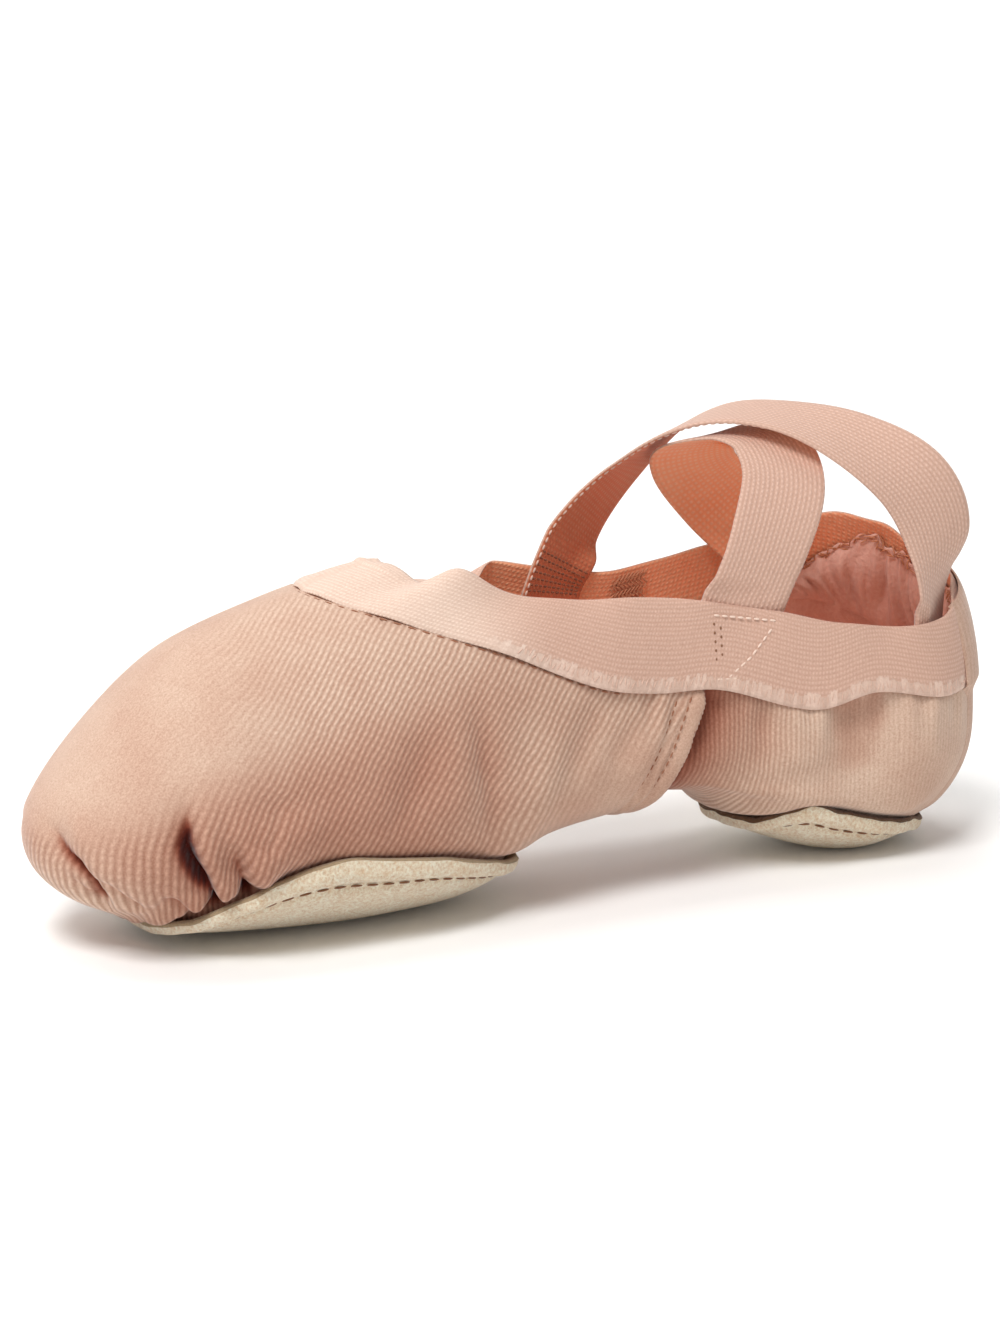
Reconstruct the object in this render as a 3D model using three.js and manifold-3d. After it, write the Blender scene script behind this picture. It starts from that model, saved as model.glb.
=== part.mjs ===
// A split-sole ballet slipper: a hollow canvas upper shaped on a soft rounded last, an elastic collar
// band, two crossed elastic straps, a canvas strip up the back of the heel, suede pads under the
// forefoot and the heel, and a thin insole over each pad.
// Millimetres, +Z up. The toe points to -X, the heel to +X, and the pads stand on z = 0.
// The last is the same on both sides. The collar and the straps differ from the -Y side to the +Y side.

import * as THREE from "three";
import { mergeVertices } from "three/addons/utils/BufferGeometryUtils.js";
import Module from "manifold-3d";

const wasm = await Module();
wasm.setup();

// Driving dimensions
const LENGTH = 234;
const BALL_WIDTH = 73;
const INSTEP_HEIGHT = 84;
const TOE_TIP_HEIGHT = 24;
const HEEL_TIP_HEIGHT = 30;
const TOE_ROUNDING = 40;
const HEEL_ROUNDING = 34;
const ROUNDING_POWER = 2.2;

// Thicknesses of the materials, and the gap that is left between two pieces
const CANVAS = 1.2;
const ELASTIC = 1.0;
const SUEDE = 1.7;
const INSOLE = 1.4;
const STRIP = 0.8;
const GAP = 0.3;

// Fineness of the facets: stations along the last and points around each section
const STATIONS = 36;
const AROUND = 32;

// The back strip stands out behind the last, so the last sits a little forward of the origin.
const STRIP_INNER = GAP + ELASTIC + GAP;
const STRIP_OUTER = STRIP_INNER + STRIP;
const TOE_X = -(LENGTH + STRIP_OUTER) / 2;
const HEEL_X = TOE_X + LENGTH;
const LEFT = -1;
const RIGHT = 1;

// The last. along: share of the length from the toe. width: share of the ball width.
// sole: height of the underside, in mm. top: share of the instep height. widest: height of the
// widest point, in mm. under and over: how square the lower and upper halves are, 2 being an ellipse.
const SECTIONS = [
  { along: 0.0, width: 0.93, sole: 5.0, top: 0.48, widest: 25, under: 2.0, over: 2.0 },
  { along: 0.08, width: 0.96, sole: 4.4, top: 0.64, widest: 28, under: 2.0, over: 2.0 },
  { along: 0.16, width: 0.99, sole: 2.9, top: 0.78, widest: 31, under: 2.0, over: 2.0 },
  { along: 0.25, width: 1.0, sole: 1.4, top: 0.87, widest: 33, under: 2.0, over: 2.0 },
  { along: 0.33, width: 0.99, sole: 1.4, top: 0.92, widest: 33, under: 2.0, over: 2.1 },
  { along: 0.42, width: 0.92, sole: 3.5, top: 0.95, widest: 34, under: 2.0, over: 2.2 },
  { along: 0.5, width: 0.82, sole: 12.0, top: 0.97, widest: 35, under: 2.0, over: 2.3 },
  { along: 0.58, width: 0.74, sole: 15.5, top: 0.99, widest: 36, under: 2.1, over: 2.3 },
  { along: 0.67, width: 0.71, sole: 18.5, top: 1.0, widest: 35, under: 2.1, over: 2.3 },
  { along: 0.75, width: 0.74, sole: 8.5, top: 1.0, widest: 33, under: 2.1, over: 2.4 },
  { along: 0.84, width: 0.77, sole: 1.4, top: 1.0, widest: 31, under: 2.2, over: 2.4 },
  { along: 0.92, width: 0.78, sole: 1.4, top: 1.0, widest: 31, under: 2.2, over: 2.4 },
  { along: 1.0, width: 0.77, sole: 2.5, top: 0.98, widest: 30, under: 2.2, over: 2.4 },
].map((row) => ({ ...row, x: TOE_X + row.along * LENGTH }));

// The collar band in side view: heights of its lower and upper edges along each side. Both sides meet
// over the vamp at the throat and at the back of the heel.
const COLLAR = {
  [LEFT]: {
    lower: [
      { x: -58, z: 76 },
      { x: -40, z: 70.5 },
      { x: -17, z: 62 },
      { x: 7, z: 51.5 },
      { x: 22, z: 48.5 },
      { x: 38, z: 47.5 },
      { x: 62, z: 40.5 },
      { x: 78, z: 43 },
      { x: 98, z: 39.5 },
      { x: 122, z: 41 },
    ],
    upper: [
      { x: -46, z: 80.5 },
      { x: -33, z: 78 },
      { x: -26, z: 76.1 },
      { x: -11, z: 73.1 },
      { x: 6, z: 70.6 },
      { x: 28, z: 68.5 },
      { x: 54, z: 63.5 },
      { x: 70, z: 59.5 },
      { x: 97, z: 57.5 },
      { x: 110, z: 65.5 },
      { x: 122, z: 66 },
    ],
  },
  [RIGHT]: {
    lower: [
      { x: -58, z: 76 },
      { x: -40, z: 70.5 },
      { x: -17, z: 62 },
      { x: 7, z: 52 },
      { x: 30, z: 46.5 },
      { x: 55, z: 49 },
      { x: 86, z: 53.5 },
      { x: 102, z: 49 },
      { x: 114, z: 41.5 },
      { x: 122, z: 41 },
    ],
    upper: [
      { x: -46, z: 80.5 },
      { x: -33, z: 78 },
      { x: -26, z: 76.1 },
      { x: -11, z: 73.1 },
      { x: 5, z: 70.3 },
      { x: 34, z: 65.6 },
      { x: 60, z: 68.7 },
      { x: 90, z: 74.3 },
      { x: 101, z: 73 },
      { x: 110, z: 65.5 },
      { x: 122, z: 66 },
    ],
  },
};
// How far the canvas reaches up behind the band
const BAND_OVERLAP = 5;

// The suede pads in plan: an oval of the given power, narrowed towards the back by the taper.
// seam is the margin of canvas that is turned in and sewn under the pad's edge.
const FOREFOOT_PAD = { front: -95, back: -5, halfWidth: 34, power: 2.5, taper: 0.1, seam: 9 };
const HEEL_PAD = { front: 51, back: 103, halfWidth: 23, power: 2.2, taper: 0, seam: 7 };
const PAD_TOP = 27;
const INSOLE_MARGIN = 4;

// The strip up the back of the heel: its half width and the height where it starts above the pad
const BACK_STRIP = { halfWidth: 21.5, bottom: 9, front: 88, above: 0.6 };

// The straps: places of the middle of the elastic from the sewn left end to the sewn right end.
// back is how far the outer face turns towards the heel there.
const STRAP_WIDTH = 20;
const STRAP_STEPS = 32;
const STRAP_ACROSS = 4;
const ANKLE_HEIGHT = 74;
const STRAP_UNDER = [
  { x: 44, y: -23.5, z: 54, back: 0 },
  { x: 46, y: -22.5, z: 64, back: 0 },
  { x: 53, y: -22, z: 80, back: 0 },
  { x: 58.5, y: -18, z: 92.5, back: 0 },
  { x: 59, y: -10, z: 100, back: 0 },
  { x: 55, y: -1, z: 101.3, back: 0 },
  { x: 49.5, y: 7, z: 97.5, back: 0 },
  { x: 52, y: 13, z: 91, back: 0 },
  { x: 61, y: 16.8, z: 82, back: 0 },
  { x: 71.5, y: 17.8, z: 72, back: 0 },
  { x: 80, y: 20.6, z: 62, back: 0 },
];
const STRAP_OVER = [
  { x: 97, y: -20.5, z: 50, back: 1.0 },
  { x: 97.5, y: -20.5, z: 62, back: 0.95 },
  { x: 97, y: -23, z: 77, back: 0.2 },
  { x: 90.5, y: -22, z: 90, back: -0.2 },
  { x: 78.5, y: -15.5, z: 99.5, back: -0.1 },
  { x: 66, y: -7, z: 104.6, back: 0 },
  { x: 54, y: 2, z: 105.2, back: -0.15 },
  { x: 44.5, y: 10.5, z: 100, back: -0.3 },
  { x: 36, y: 17.5, z: 90.2, back: -0.4 },
  { x: 26, y: 19.8, z: 78.7, back: -0.55 },
  { x: 19.3, y: 19.2, z: 67, back: -0.5 },
  { x: 16.5, y: 19.5, z: 57, back: -0.3 },
];

const clamp = THREE.MathUtils.clamp;

// A smooth curve through a table's rows: a cubic between two rows, with each row's slope taken from
// its neighbours. It is level beyond the ends.
function curve(rows, along, column) {
  const slopes = rows.map((row, i) => {
    const before = rows[Math.max(i - 1, 0)];
    const after = rows[Math.min(i + 1, rows.length - 1)];
    return (after[column] - before[column]) / (after[along] - before[along]);
  });
  return (place) => {
    const at = clamp(place, rows[0][along], rows[rows.length - 1][along]);
    const found = rows.findIndex((row, i) => i > 0 && at <= row[along]);
    const [a, b] = [rows[found - 1], rows[found]];
    const span = b[along] - a[along];
    const t = (at - a[along]) / span;
    const rise = t * t * (3 - 2 * t);
    const leave = t * (1 - t) * (1 - t) * span * slopes[found - 1];
    const arrive = t * t * (1 - t) * span * slopes[found];
    return a[column] + (b[column] - a[column]) * rise + leave - arrive;
  };
}

const sectionCurve = Object.fromEntries(
  ["width", "sole", "top", "widest", "under", "over"].map((name) => [name, curve(SECTIONS, "x", name)]),
);

// How far a rounded end has closed at a distance from where the rounding starts: 1 open, 0 shut.
function closing(distance, rounding) {
  const t = clamp(distance / rounding, 0, 1);
  return (1 - t ** ROUNDING_POWER) ** (1 / ROUNDING_POWER);
}

// The section of the last at a station: half width, underside, top and widest height, and powers.
function sectionAt(x) {
  const toe = closing(TOE_X + TOE_ROUNDING - x, TOE_ROUNDING);
  const heel = closing(x - HEEL_X + HEEL_ROUNDING, HEEL_ROUNDING);
  const gather = (z) => {
    const byToe = TOE_TIP_HEIGHT + (z - TOE_TIP_HEIGHT) * toe;
    return HEEL_TIP_HEIGHT + (byToe - HEEL_TIP_HEIGHT) * heel;
  };
  return {
    half: (sectionCurve.width(x) * BALL_WIDTH * toe * heel) / 2,
    sole: gather(sectionCurve.sole(x)),
    top: gather(sectionCurve.top(x) * INSTEP_HEIGHT),
    widest: gather(sectionCurve.widest(x)),
    under: sectionCurve.under(x),
    over: sectionCurve.over(x),
  };
}

// A point of the last: share runs from the toe tip (0) to the back of the heel (1), and turn goes
// round the section from the right side over the top.
function lastPoint(share, turn) {
  const x = TOE_X + (LENGTH * (1 - Math.cos(Math.PI * share))) / 2;
  const s = sectionAt(x);
  const [c, h] = [Math.cos(turn), Math.sin(turn)];
  const power = 2 / (h >= 0 ? s.over : s.under);
  const reach = h >= 0 ? s.top - s.widest : s.widest - s.sole;
  const y = s.half * Math.sign(c) * Math.abs(c) ** power;
  const z = s.widest + reach * Math.sign(h) * Math.abs(h) ** power;
  return new THREE.Vector3(x, y, z);
}

// Half width of the last at a station and height.
function halfWidthAt(x, z) {
  const s = sectionAt(x);
  const above = z >= s.widest;
  const reach = above ? s.top - s.widest : s.widest - s.sole;
  const power = above ? s.over : s.under;
  const k = clamp(Math.abs(z - s.widest) / Math.max(reach, 1e-6), 0, 1);
  return s.half * (1 - k ** power) ** (1 / power);
}

// The outward direction of the last at one of its points, from two small steps along it.
function lastNormal(share, turn) {
  const step = 1e-3;
  const alongStep = lastPoint(share + step, turn).sub(lastPoint(share - step, turn));
  const roundStep = lastPoint(share, turn + step).sub(lastPoint(share, turn - step));
  return roundStep.cross(alongStep).normalize();
}

// A closed solid from a list of points and triangles.
function solid(points, triangles) {
  const vertProperties = new Float32Array(points.flatMap((p) => [p.x, p.y, p.z]));
  const triVerts = new Uint32Array(triangles.flat());
  return new wasm.Manifold(new wasm.Mesh({ numProp: 3, vertProperties, triVerts }));
}

// The whole last, grown outwards (or inwards, below 0) by a distance along its normals.
function lastForm(grow) {
  const points = [new THREE.Vector3(TOE_X - grow, 0, TOE_TIP_HEIGHT)];
  for (let i = 1; i < STATIONS; i++) {
    for (let j = 0; j < AROUND; j++) {
      const [share, turn] = [i / STATIONS, ((j + 0.5) / AROUND) * 2 * Math.PI];
      points.push(lastPoint(share, turn).addScaledVector(lastNormal(share, turn), grow));
    }
  }
  points.push(new THREE.Vector3(HEEL_X + grow, 0, HEEL_TIP_HEIGHT));
  const at = (i, j) => 1 + (i - 1) * AROUND + (j % AROUND);
  const triangles = [];
  for (let j = 0; j < AROUND; j++) {
    triangles.push([0, at(1, j + 1), at(1, j)]);
    for (let i = 1; i < STATIONS - 1; i++) {
      triangles.push([at(i, j), at(i, j + 1), at(i + 1, j + 1)]);
      triangles.push([at(i, j), at(i + 1, j + 1), at(i + 1, j)]);
    }
    triangles.push([points.length - 1, at(STATIONS - 1, j), at(STATIONS - 1, j + 1)]);
  }
  return solid(points, triangles);
}

// A straight cutter: an outline in the XY plane, or in the XZ plane when upright, carried from one
// depth to another across it.
function cutter(outline, from, to, upright) {
  const shape = new THREE.Shape(outline.map(([a, b]) => new THREE.Vector2(a, b)));
  const geometry = new THREE.ExtrudeGeometry(shape, { depth: to - from, bevelEnabled: false });
  geometry.translate(0, 0, from);
  if (upright) geometry.rotateX(Math.PI / 2);
  geometry.deleteAttribute("normal");
  geometry.deleteAttribute("uv");
  const merged = mergeVertices(geometry, 1e-4);
  return new wasm.Manifold(
    new wasm.Mesh({
      numProp: 3,
      vertProperties: new Float32Array(merged.attributes.position.array),
      triVerts: new Uint32Array(merged.index.array),
    }),
  );
}

// Everything above an edge of the collar, raised by a distance, on both sides of the last.
const SIDE_REACH = 60;
const SIDE_OVERLAP = 0.05;
const ABOVE_ALL = 140;
const EDGE_STEPS = 32;
function aboveCollar(edge, raise) {
  const halves = [LEFT, RIGHT].map((side) => {
    const rows = COLLAR[side][edge];
    const height = curve(rows, "x", "z");
    const [first, last] = [rows[0].x, rows[rows.length - 1].x];
    const outline = [];
    for (let i = 0; i <= EDGE_STEPS; i++) {
      const x = first + ((last - first) * i) / EDGE_STEPS;
      outline.push([x, height(x) + raise]);
    }
    outline.push([last, ABOVE_ALL], [first, ABOVE_ALL]);
    // An upright cutter runs towards -Y from the depth it starts at. The two halves overlap a little.
    const [from, to] = side === LEFT ? [-SIDE_OVERLAP, SIDE_REACH] : [-SIDE_REACH, SIDE_OVERLAP];
    return cutter(outline, from, to, true);
  });
  return halves[0].add(halves[1]);
}

// The plan outline of a pad, drawn in by a margin.
const PAD_STEPS = 32;
function padOutline(pad, margin) {
  const middle = (pad.front + pad.back) / 2;
  const reach = (pad.back - pad.front) / 2 - margin;
  const width = pad.halfWidth - margin;
  return Array.from({ length: PAD_STEPS }, (_, i) => {
    const a = (2 * Math.PI * i) / PAD_STEPS;
    const [c, s] = [Math.cos(a), Math.sin(a)];
    const along = Math.sign(c) * Math.abs(c) ** (2 / pad.power);
    const across = Math.sign(s) * Math.abs(s) ** (2 / pad.power);
    return [middle + reach * along, width * across * (1 - pad.taper * along)];
  });
}

// The canvas upper: a wall inside the last's surface, open above the band's overlap and under each pad.
const BELOW_ALL = -20;
function makeUpper() {
  const wall = lastForm(0).subtract(lastForm(-CANVAS));
  const holes = [FOREFOOT_PAD, HEEL_PAD].map((pad) =>
    cutter(padOutline(pad, pad.seam), BELOW_ALL, PAD_TOP, false),
  );
  return holes.reduce((part, hole) => part.subtract(hole), wall.subtract(aboveCollar("lower", BAND_OVERLAP)));
}

// A suede pad: a layer under the last inside the pad's outline, worn flat where it meets the floor.
function makePad(pad) {
  const layer = lastForm(GAP + SUEDE).subtract(lastForm(GAP));
  return layer.intersect(cutter(padOutline(pad, 0), 0, PAD_TOP, false));
}

// An insole: a layer inside the canvas that covers the hole over a pad.
function makeInsole(pad) {
  const outer = -CANVAS - GAP;
  const layer = lastForm(outer).subtract(lastForm(outer - INSOLE));
  return layer.intersect(cutter(padOutline(pad, pad.seam - INSOLE_MARGIN), BELOW_ALL, PAD_TOP, false));
}

// The elastic band: a layer over the canvas between the collar's lower and upper edges.
function makeBand() {
  const layer = lastForm(GAP + ELASTIC).subtract(lastForm(GAP));
  return layer.intersect(aboveCollar("lower", 0)).subtract(aboveCollar("upper", 0));
}

// The back strip: a layer over the band and the canvas at the back of the heel.
function makeBackStrip() {
  const layer = lastForm(STRIP_OUTER).subtract(lastForm(STRIP_INNER));
  const { halfWidth, bottom, front, above } = BACK_STRIP;
  const outline = [
    [front, -halfWidth],
    [HEEL_X + SIDE_REACH, -halfWidth],
    [HEEL_X + SIDE_REACH, halfWidth],
    [front, halfWidth],
  ];
  return layer.intersect(cutter(outline, bottom, ABOVE_ALL, false)).subtract(aboveCollar("upper", above));
}

// An elastic strap: a flat strip along its table. Its sewn tails lie against the inside of the band.
const TAIL_REACH = 5;
const RIM_CLEARANCE = 2;
function makeStrap(rows) {
  const counted = rows.map((row, i) => ({ ...row, i }));
  const [x, y, z, back] = ["x", "y", "z", "back"].map((name) => curve(counted, "i", name));
  const middle = (t) => new THREE.Vector3(x(t), y(t), z(t));
  // The outer face looks away from the ankle's axis.
  const outward = (t) => {
    const away = new THREE.Vector3(0, y(t), Math.max(z(t) - ANKLE_HEIGHT, 0));
    return away.setX(back(t) * away.length());
  };
  const rimAt = { [LEFT]: curve(COLLAR[LEFT].upper, "x", "z"), [RIGHT]: curve(COLLAR[RIGHT].upper, "x", "z") };
  // Inside the band a point is held this far in from the last's surface; above it the point is free.
  const heldIn = (p, inset) => {
    const side = Math.sign(p.y);
    const rim = rimAt[side](p.x);
    const free = clamp((p.z - rim - RIM_CLEARANCE) / TAIL_REACH, 0, 1);
    const limit = halfWidthAt(p.x, Math.min(p.z, rim)) - inset;
    const held = side * Math.min(Math.abs(p.y), Math.max(limit, 0));
    return p.setY(held + (p.y - held) * free * free * (3 - 2 * free));
  };
  const last = rows.length - 1;
  const points = [];
  for (let i = 0; i <= STRAP_STEPS; i++) {
    const t = (last * i) / STRAP_STEPS;
    const ahead = middle(Math.min(t + 0.02, last)).sub(middle(Math.max(t - 0.02, 0))).normalize();
    const across = ahead.clone().cross(outward(t)).normalize();
    const out = across.clone().cross(ahead);
    for (const face of [0, 1]) {
      for (let j = 0; j <= STRAP_ACROSS; j++) {
        const p = middle(t).addScaledVector(across, STRAP_WIDTH * (j / STRAP_ACROSS - 0.5));
        const inset = GAP + (1 - face) * ELASTIC;
        points.push(heldIn(p.addScaledVector(out, ELASTIC * (face - 0.5)), inset));
      }
    }
  }
  const row = 2 * (STRAP_ACROSS + 1);
  const at = (i, face, j) => i * row + face * (STRAP_ACROSS + 1) + j;
  const triangles = [];
  const quad = (a, b, c, d) => triangles.push([a, b, c], [a, c, d]);
  for (let i = 0; i < STRAP_STEPS; i++) {
    for (let j = 0; j < STRAP_ACROSS; j++) {
      quad(at(i, 1, j), at(i, 1, j + 1), at(i + 1, 1, j + 1), at(i + 1, 1, j));
      quad(at(i, 0, j), at(i + 1, 0, j), at(i + 1, 0, j + 1), at(i, 0, j + 1));
    }
    quad(at(i, 0, 0), at(i, 1, 0), at(i + 1, 1, 0), at(i + 1, 0, 0));
    quad(at(i, 0, STRAP_ACROSS), at(i + 1, 0, STRAP_ACROSS), at(i + 1, 1, STRAP_ACROSS), at(i, 1, STRAP_ACROSS));
  }
  for (let j = 0; j < STRAP_ACROSS; j++) {
    quad(at(0, 0, j), at(0, 0, j + 1), at(0, 1, j + 1), at(0, 1, j));
    quad(at(STRAP_STEPS, 0, j), at(STRAP_STEPS, 1, j), at(STRAP_STEPS, 1, j + 1), at(STRAP_STEPS, 0, j + 1));
  }
  return solid(points, triangles);
}

// Materials
const canvas = new THREE.MeshStandardMaterial({ color: 0xdfae93, roughness: 0.92, metalness: 0 });
const elastic = new THREE.MeshStandardMaterial({ color: 0xe2b8a0, roughness: 0.85, metalness: 0 });
const suede = new THREE.MeshStandardMaterial({ color: 0xbfa88a, roughness: 0.97, metalness: 0 });
const lining = new THREE.MeshStandardMaterial({ color: 0xd98a66, roughness: 0.95, metalness: 0 });

// A named piece from a solid.
function piece(name, made, material) {
  const mesh = made.getMesh();
  const positions = new Float32Array(mesh.numVert * 3);
  for (let i = 0; i < mesh.numVert; i++) {
    positions.set(mesh.vertProperties.subarray(i * mesh.numProp, i * mesh.numProp + 3), i * 3);
  }
  const geometry = new THREE.BufferGeometry();
  geometry.setAttribute("position", new THREE.BufferAttribute(positions, 3));
  geometry.setIndex(new THREE.BufferAttribute(new Uint32Array(mesh.triVerts), 1));
  geometry.computeVertexNormals();
  const node = new THREE.Mesh(geometry, material);
  node.name = name;
  return node;
}

const slipper = new THREE.Group();
slipper.add(
  piece("upper", makeUpper(), canvas),
  piece("forefoot_sole", makePad(FOREFOOT_PAD), suede),
  piece("heel_sole", makePad(HEEL_PAD), suede),
  piece("forefoot_insole", makeInsole(FOREFOOT_PAD), lining),
  piece("heel_insole", makeInsole(HEEL_PAD), lining),
  piece("collar_band", makeBand(), elastic),
  piece("back_strip", makeBackStrip(), canvas),
  piece("strap_under", makeStrap(STRAP_UNDER), elastic),
  piece("strap_over", makeStrap(STRAP_OVER), elastic),
);

export default slipper;
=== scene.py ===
"""Looks of a split-sole ballet slipper: canvas, elastic, suede, lining, stitches and the studio."""

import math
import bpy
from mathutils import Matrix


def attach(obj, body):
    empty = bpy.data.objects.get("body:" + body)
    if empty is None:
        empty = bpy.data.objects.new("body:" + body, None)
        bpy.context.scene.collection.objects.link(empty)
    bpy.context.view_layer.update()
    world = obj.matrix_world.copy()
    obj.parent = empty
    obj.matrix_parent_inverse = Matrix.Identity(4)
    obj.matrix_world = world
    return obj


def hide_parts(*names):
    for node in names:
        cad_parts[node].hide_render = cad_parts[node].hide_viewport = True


bl_info = {
    "name": "Split-sole ballet slipper",
    "version": (1, 0, 0),
    "blender": (4, 5, 0),
    "location": "View3D > Sidebar > Slipper",
    "description": "Dresses the slipper's frame in canvas, elastic and suede, and sets up the studio",
    "category": "Object",
}

from functools import partial

import bmesh
import bpy
import numpy as np
from mathutils import Vector

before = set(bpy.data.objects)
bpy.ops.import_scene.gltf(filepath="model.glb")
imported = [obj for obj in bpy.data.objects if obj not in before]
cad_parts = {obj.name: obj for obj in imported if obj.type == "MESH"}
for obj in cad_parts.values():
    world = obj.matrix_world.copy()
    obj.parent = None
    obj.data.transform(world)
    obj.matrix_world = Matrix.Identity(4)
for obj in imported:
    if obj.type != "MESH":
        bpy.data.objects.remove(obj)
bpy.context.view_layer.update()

MM = 0.001
LEFT, RIGHT = -1, 1

# The last, in mm, as in the part's source
LENGTH = 234.0
BALL_WIDTH = 73.0
INSTEP_HEIGHT = 84.0
TOE_TIP_HEIGHT = 24.0
HEEL_TIP_HEIGHT = 30.0
TOE_ROUNDING = 40.0
HEEL_ROUNDING = 34.0
ROUNDING_POWER = 2.2
CANVAS = 1.2
ELASTIC = 1.0
SUEDE = 1.7
INSOLE = 1.4
STRIP = 0.8
GAP = 0.3
STRIP_INNER = GAP + ELASTIC + GAP
STRIP_OUTER = STRIP_INNER + STRIP
TOE_X = -(LENGTH + STRIP_OUTER) / 2
HEEL_X = TOE_X + LENGTH

# One row for each section: share of the length, share of the ball width, underside, share of the
# instep height, height of the widest point, and the powers of the lower and the upper half
SECTIONS = np.array(
    [
        (0.00, 0.93, 5.0, 0.48, 25, 2.0, 2.0),
        (0.08, 0.96, 4.4, 0.64, 28, 2.0, 2.0),
        (0.16, 0.99, 2.9, 0.78, 31, 2.0, 2.0),
        (0.25, 1.00, 1.4, 0.87, 33, 2.0, 2.0),
        (0.33, 0.99, 1.4, 0.92, 33, 2.0, 2.1),
        (0.42, 0.92, 3.5, 0.95, 34, 2.0, 2.2),
        (0.50, 0.82, 12.0, 0.97, 35, 2.0, 2.3),
        (0.58, 0.74, 15.5, 0.99, 36, 2.1, 2.3),
        (0.67, 0.71, 18.5, 1.00, 35, 2.1, 2.3),
        (0.75, 0.74, 8.5, 1.00, 33, 2.1, 2.4),
        (0.84, 0.77, 1.4, 1.00, 31, 2.2, 2.4),
        (0.92, 0.78, 1.4, 1.00, 31, 2.2, 2.4),
        (1.00, 0.77, 2.5, 0.98, 30, 2.2, 2.4),
    ]
)

# The collar band's edges in side view, as rows of (x, z)
COLLAR = {
    (LEFT, "lower"): (
        (-58, 76), (-40, 70.5), (-17, 62), (7, 51.5), (22, 48.5),
        (38, 47.5), (62, 40.5), (78, 43), (98, 39.5), (122, 41),
    ),
    (LEFT, "upper"): (
        (-46, 80.5), (-33, 78), (-26, 76.1), (-11, 73.1), (6, 70.6), (28, 68.5),
        (54, 63.5), (70, 59.5), (97, 57.5), (110, 65.5), (122, 66),
    ),
    (RIGHT, "lower"): (
        (-58, 76), (-40, 70.5), (-17, 62), (7, 52), (30, 46.5),
        (55, 49), (86, 53.5), (102, 49), (114, 41.5), (122, 41),
    ),
    (RIGHT, "upper"): (
        (-46, 80.5), (-33, 78), (-26, 76.1), (-11, 73.1), (5, 70.3), (34, 65.6),
        (60, 68.7), (90, 74.3), (101, 73), (110, 65.5), (122, 66),
    ),
}
BAND_OVERLAP = 5.0

# The suede pads in plan: front, back, half width, power of the oval, taper, seam margin, and the ear where
# the left edge reaches up the side, as its place along x, its half width and its share of the pad's width
FOREFOOT_PAD = dict(front=-95.0, back=-5.0, half=34.0, power=2.5, taper=0.1, seam=9.0)
HEEL_PAD = dict(front=51.0, back=103.0, half=23.0, power=2.2, taper=0.0, seam=7.0, ear=(62.5, 7.0, 0.13))
INSOLE_MARGIN = 4.0
PAD_STITCH_MARGIN = 3.5

# The back strip: half width, bottom, how far it stands above the rim, and the place along x where the rim's
# height is taken in the middle of the strip
BACK_STRIP = dict(half=21.5, bottom=9.0, above=0.6, rim_from=111.0)

# The straps' middle lines as rows of (x, y, z, back), from the left end to the right end
STRAP_WIDTH = 20.0
ANKLE_HEIGHT = 74.0
TAIL_REACH = 5.0
RIM_CLEARANCE = 2.0
STRAP_UNDER = np.array(
    [
        (44, -23.5, 54, 0), (46, -22.5, 64, 0), (53, -22, 80, 0), (58.5, -18, 92.5, 0),
        (59, -10, 100, 0), (55, -1, 101.3, 0), (49.5, 7, 97.5, 0), (52, 13, 91, 0),
        (61, 16.8, 82, 0), (71.5, 17.8, 72, 0), (80, 20.6, 62, 0),
    ]
)
STRAP_OVER = np.array(
    [
        (97, -20.5, 50, 1), (97.5, -20.5, 62, 0.95), (97, -23, 77, 0.2), (90.5, -22, 90, -0.2),
        (78.5, -15.5, 99.5, -0.1), (66, -7, 104.6, 0), (54, 2, 105.2, -0.15), (44.5, 10.5, 100, -0.3),
        (36, 17.5, 90.2, -0.4), (26, 19.8, 78.7, -0.55), (19.3, 19.2, 67, -0.5), (16.5, 19.5, 57, -0.3),
    ]
)

# Spacing of the canvas's rows along the shoe and of its columns round it, closer at the pleats and the seam
ROW_SPACING = ((0, 0.40, 0.58, 0.74, 0.91, 1), (0, 0.29, 0.5525, 0.62, 0.833, 1))
COLUMN_SPACING = ((0, 0.18, 0.56, 0.80, 1), (0, 0.22, 0.46, 0.76, 1))

# Patterns in mm: floats that each rib of the canvas is broken into, ribs and columns of the collar's knit,
# cords of the straps, and dots on the elastic's wrong side. They are drawn a little coarser than the real
# ones, which are too fine to show, and so are the grains of lint, nap and fibre in the materials.
TWILL_FLOAT = 1.7
KNIT_RIB, KNIT_COLUMN = 1.1, 0.85
STRAP_CORD = 1.15
INSIDE_DOT = 1.3
# The bumps' filter in pixels
BUMP_FILTER = 0.1
# How far to the right of the middle the ribs of both sides meet, under the worn top of the foot
RIB_RIDGE = 12.0

# The waist seam in side view, as rows of (z, x), and its rows of stitches: offset from the seam along x,
# depth and width of the groove that they lie in, and how far out of the last they lie
WAIST_SEAM = ((16, 23.5), (26, 25.5), (36, 29.5), (48, 34.5))
WAIST_ROWS = ((-6.2, 0.5, 0.9, -0.35), (-3.0, 0.75, 0.7, 0.4))

# The roll of canvas outside a pad's edge and the pinch at the edge: distance from the edge, and width
PAD_ROLL = (3.4, 2.4)
PAD_PINCH = (-0.8, 1.6)

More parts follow.
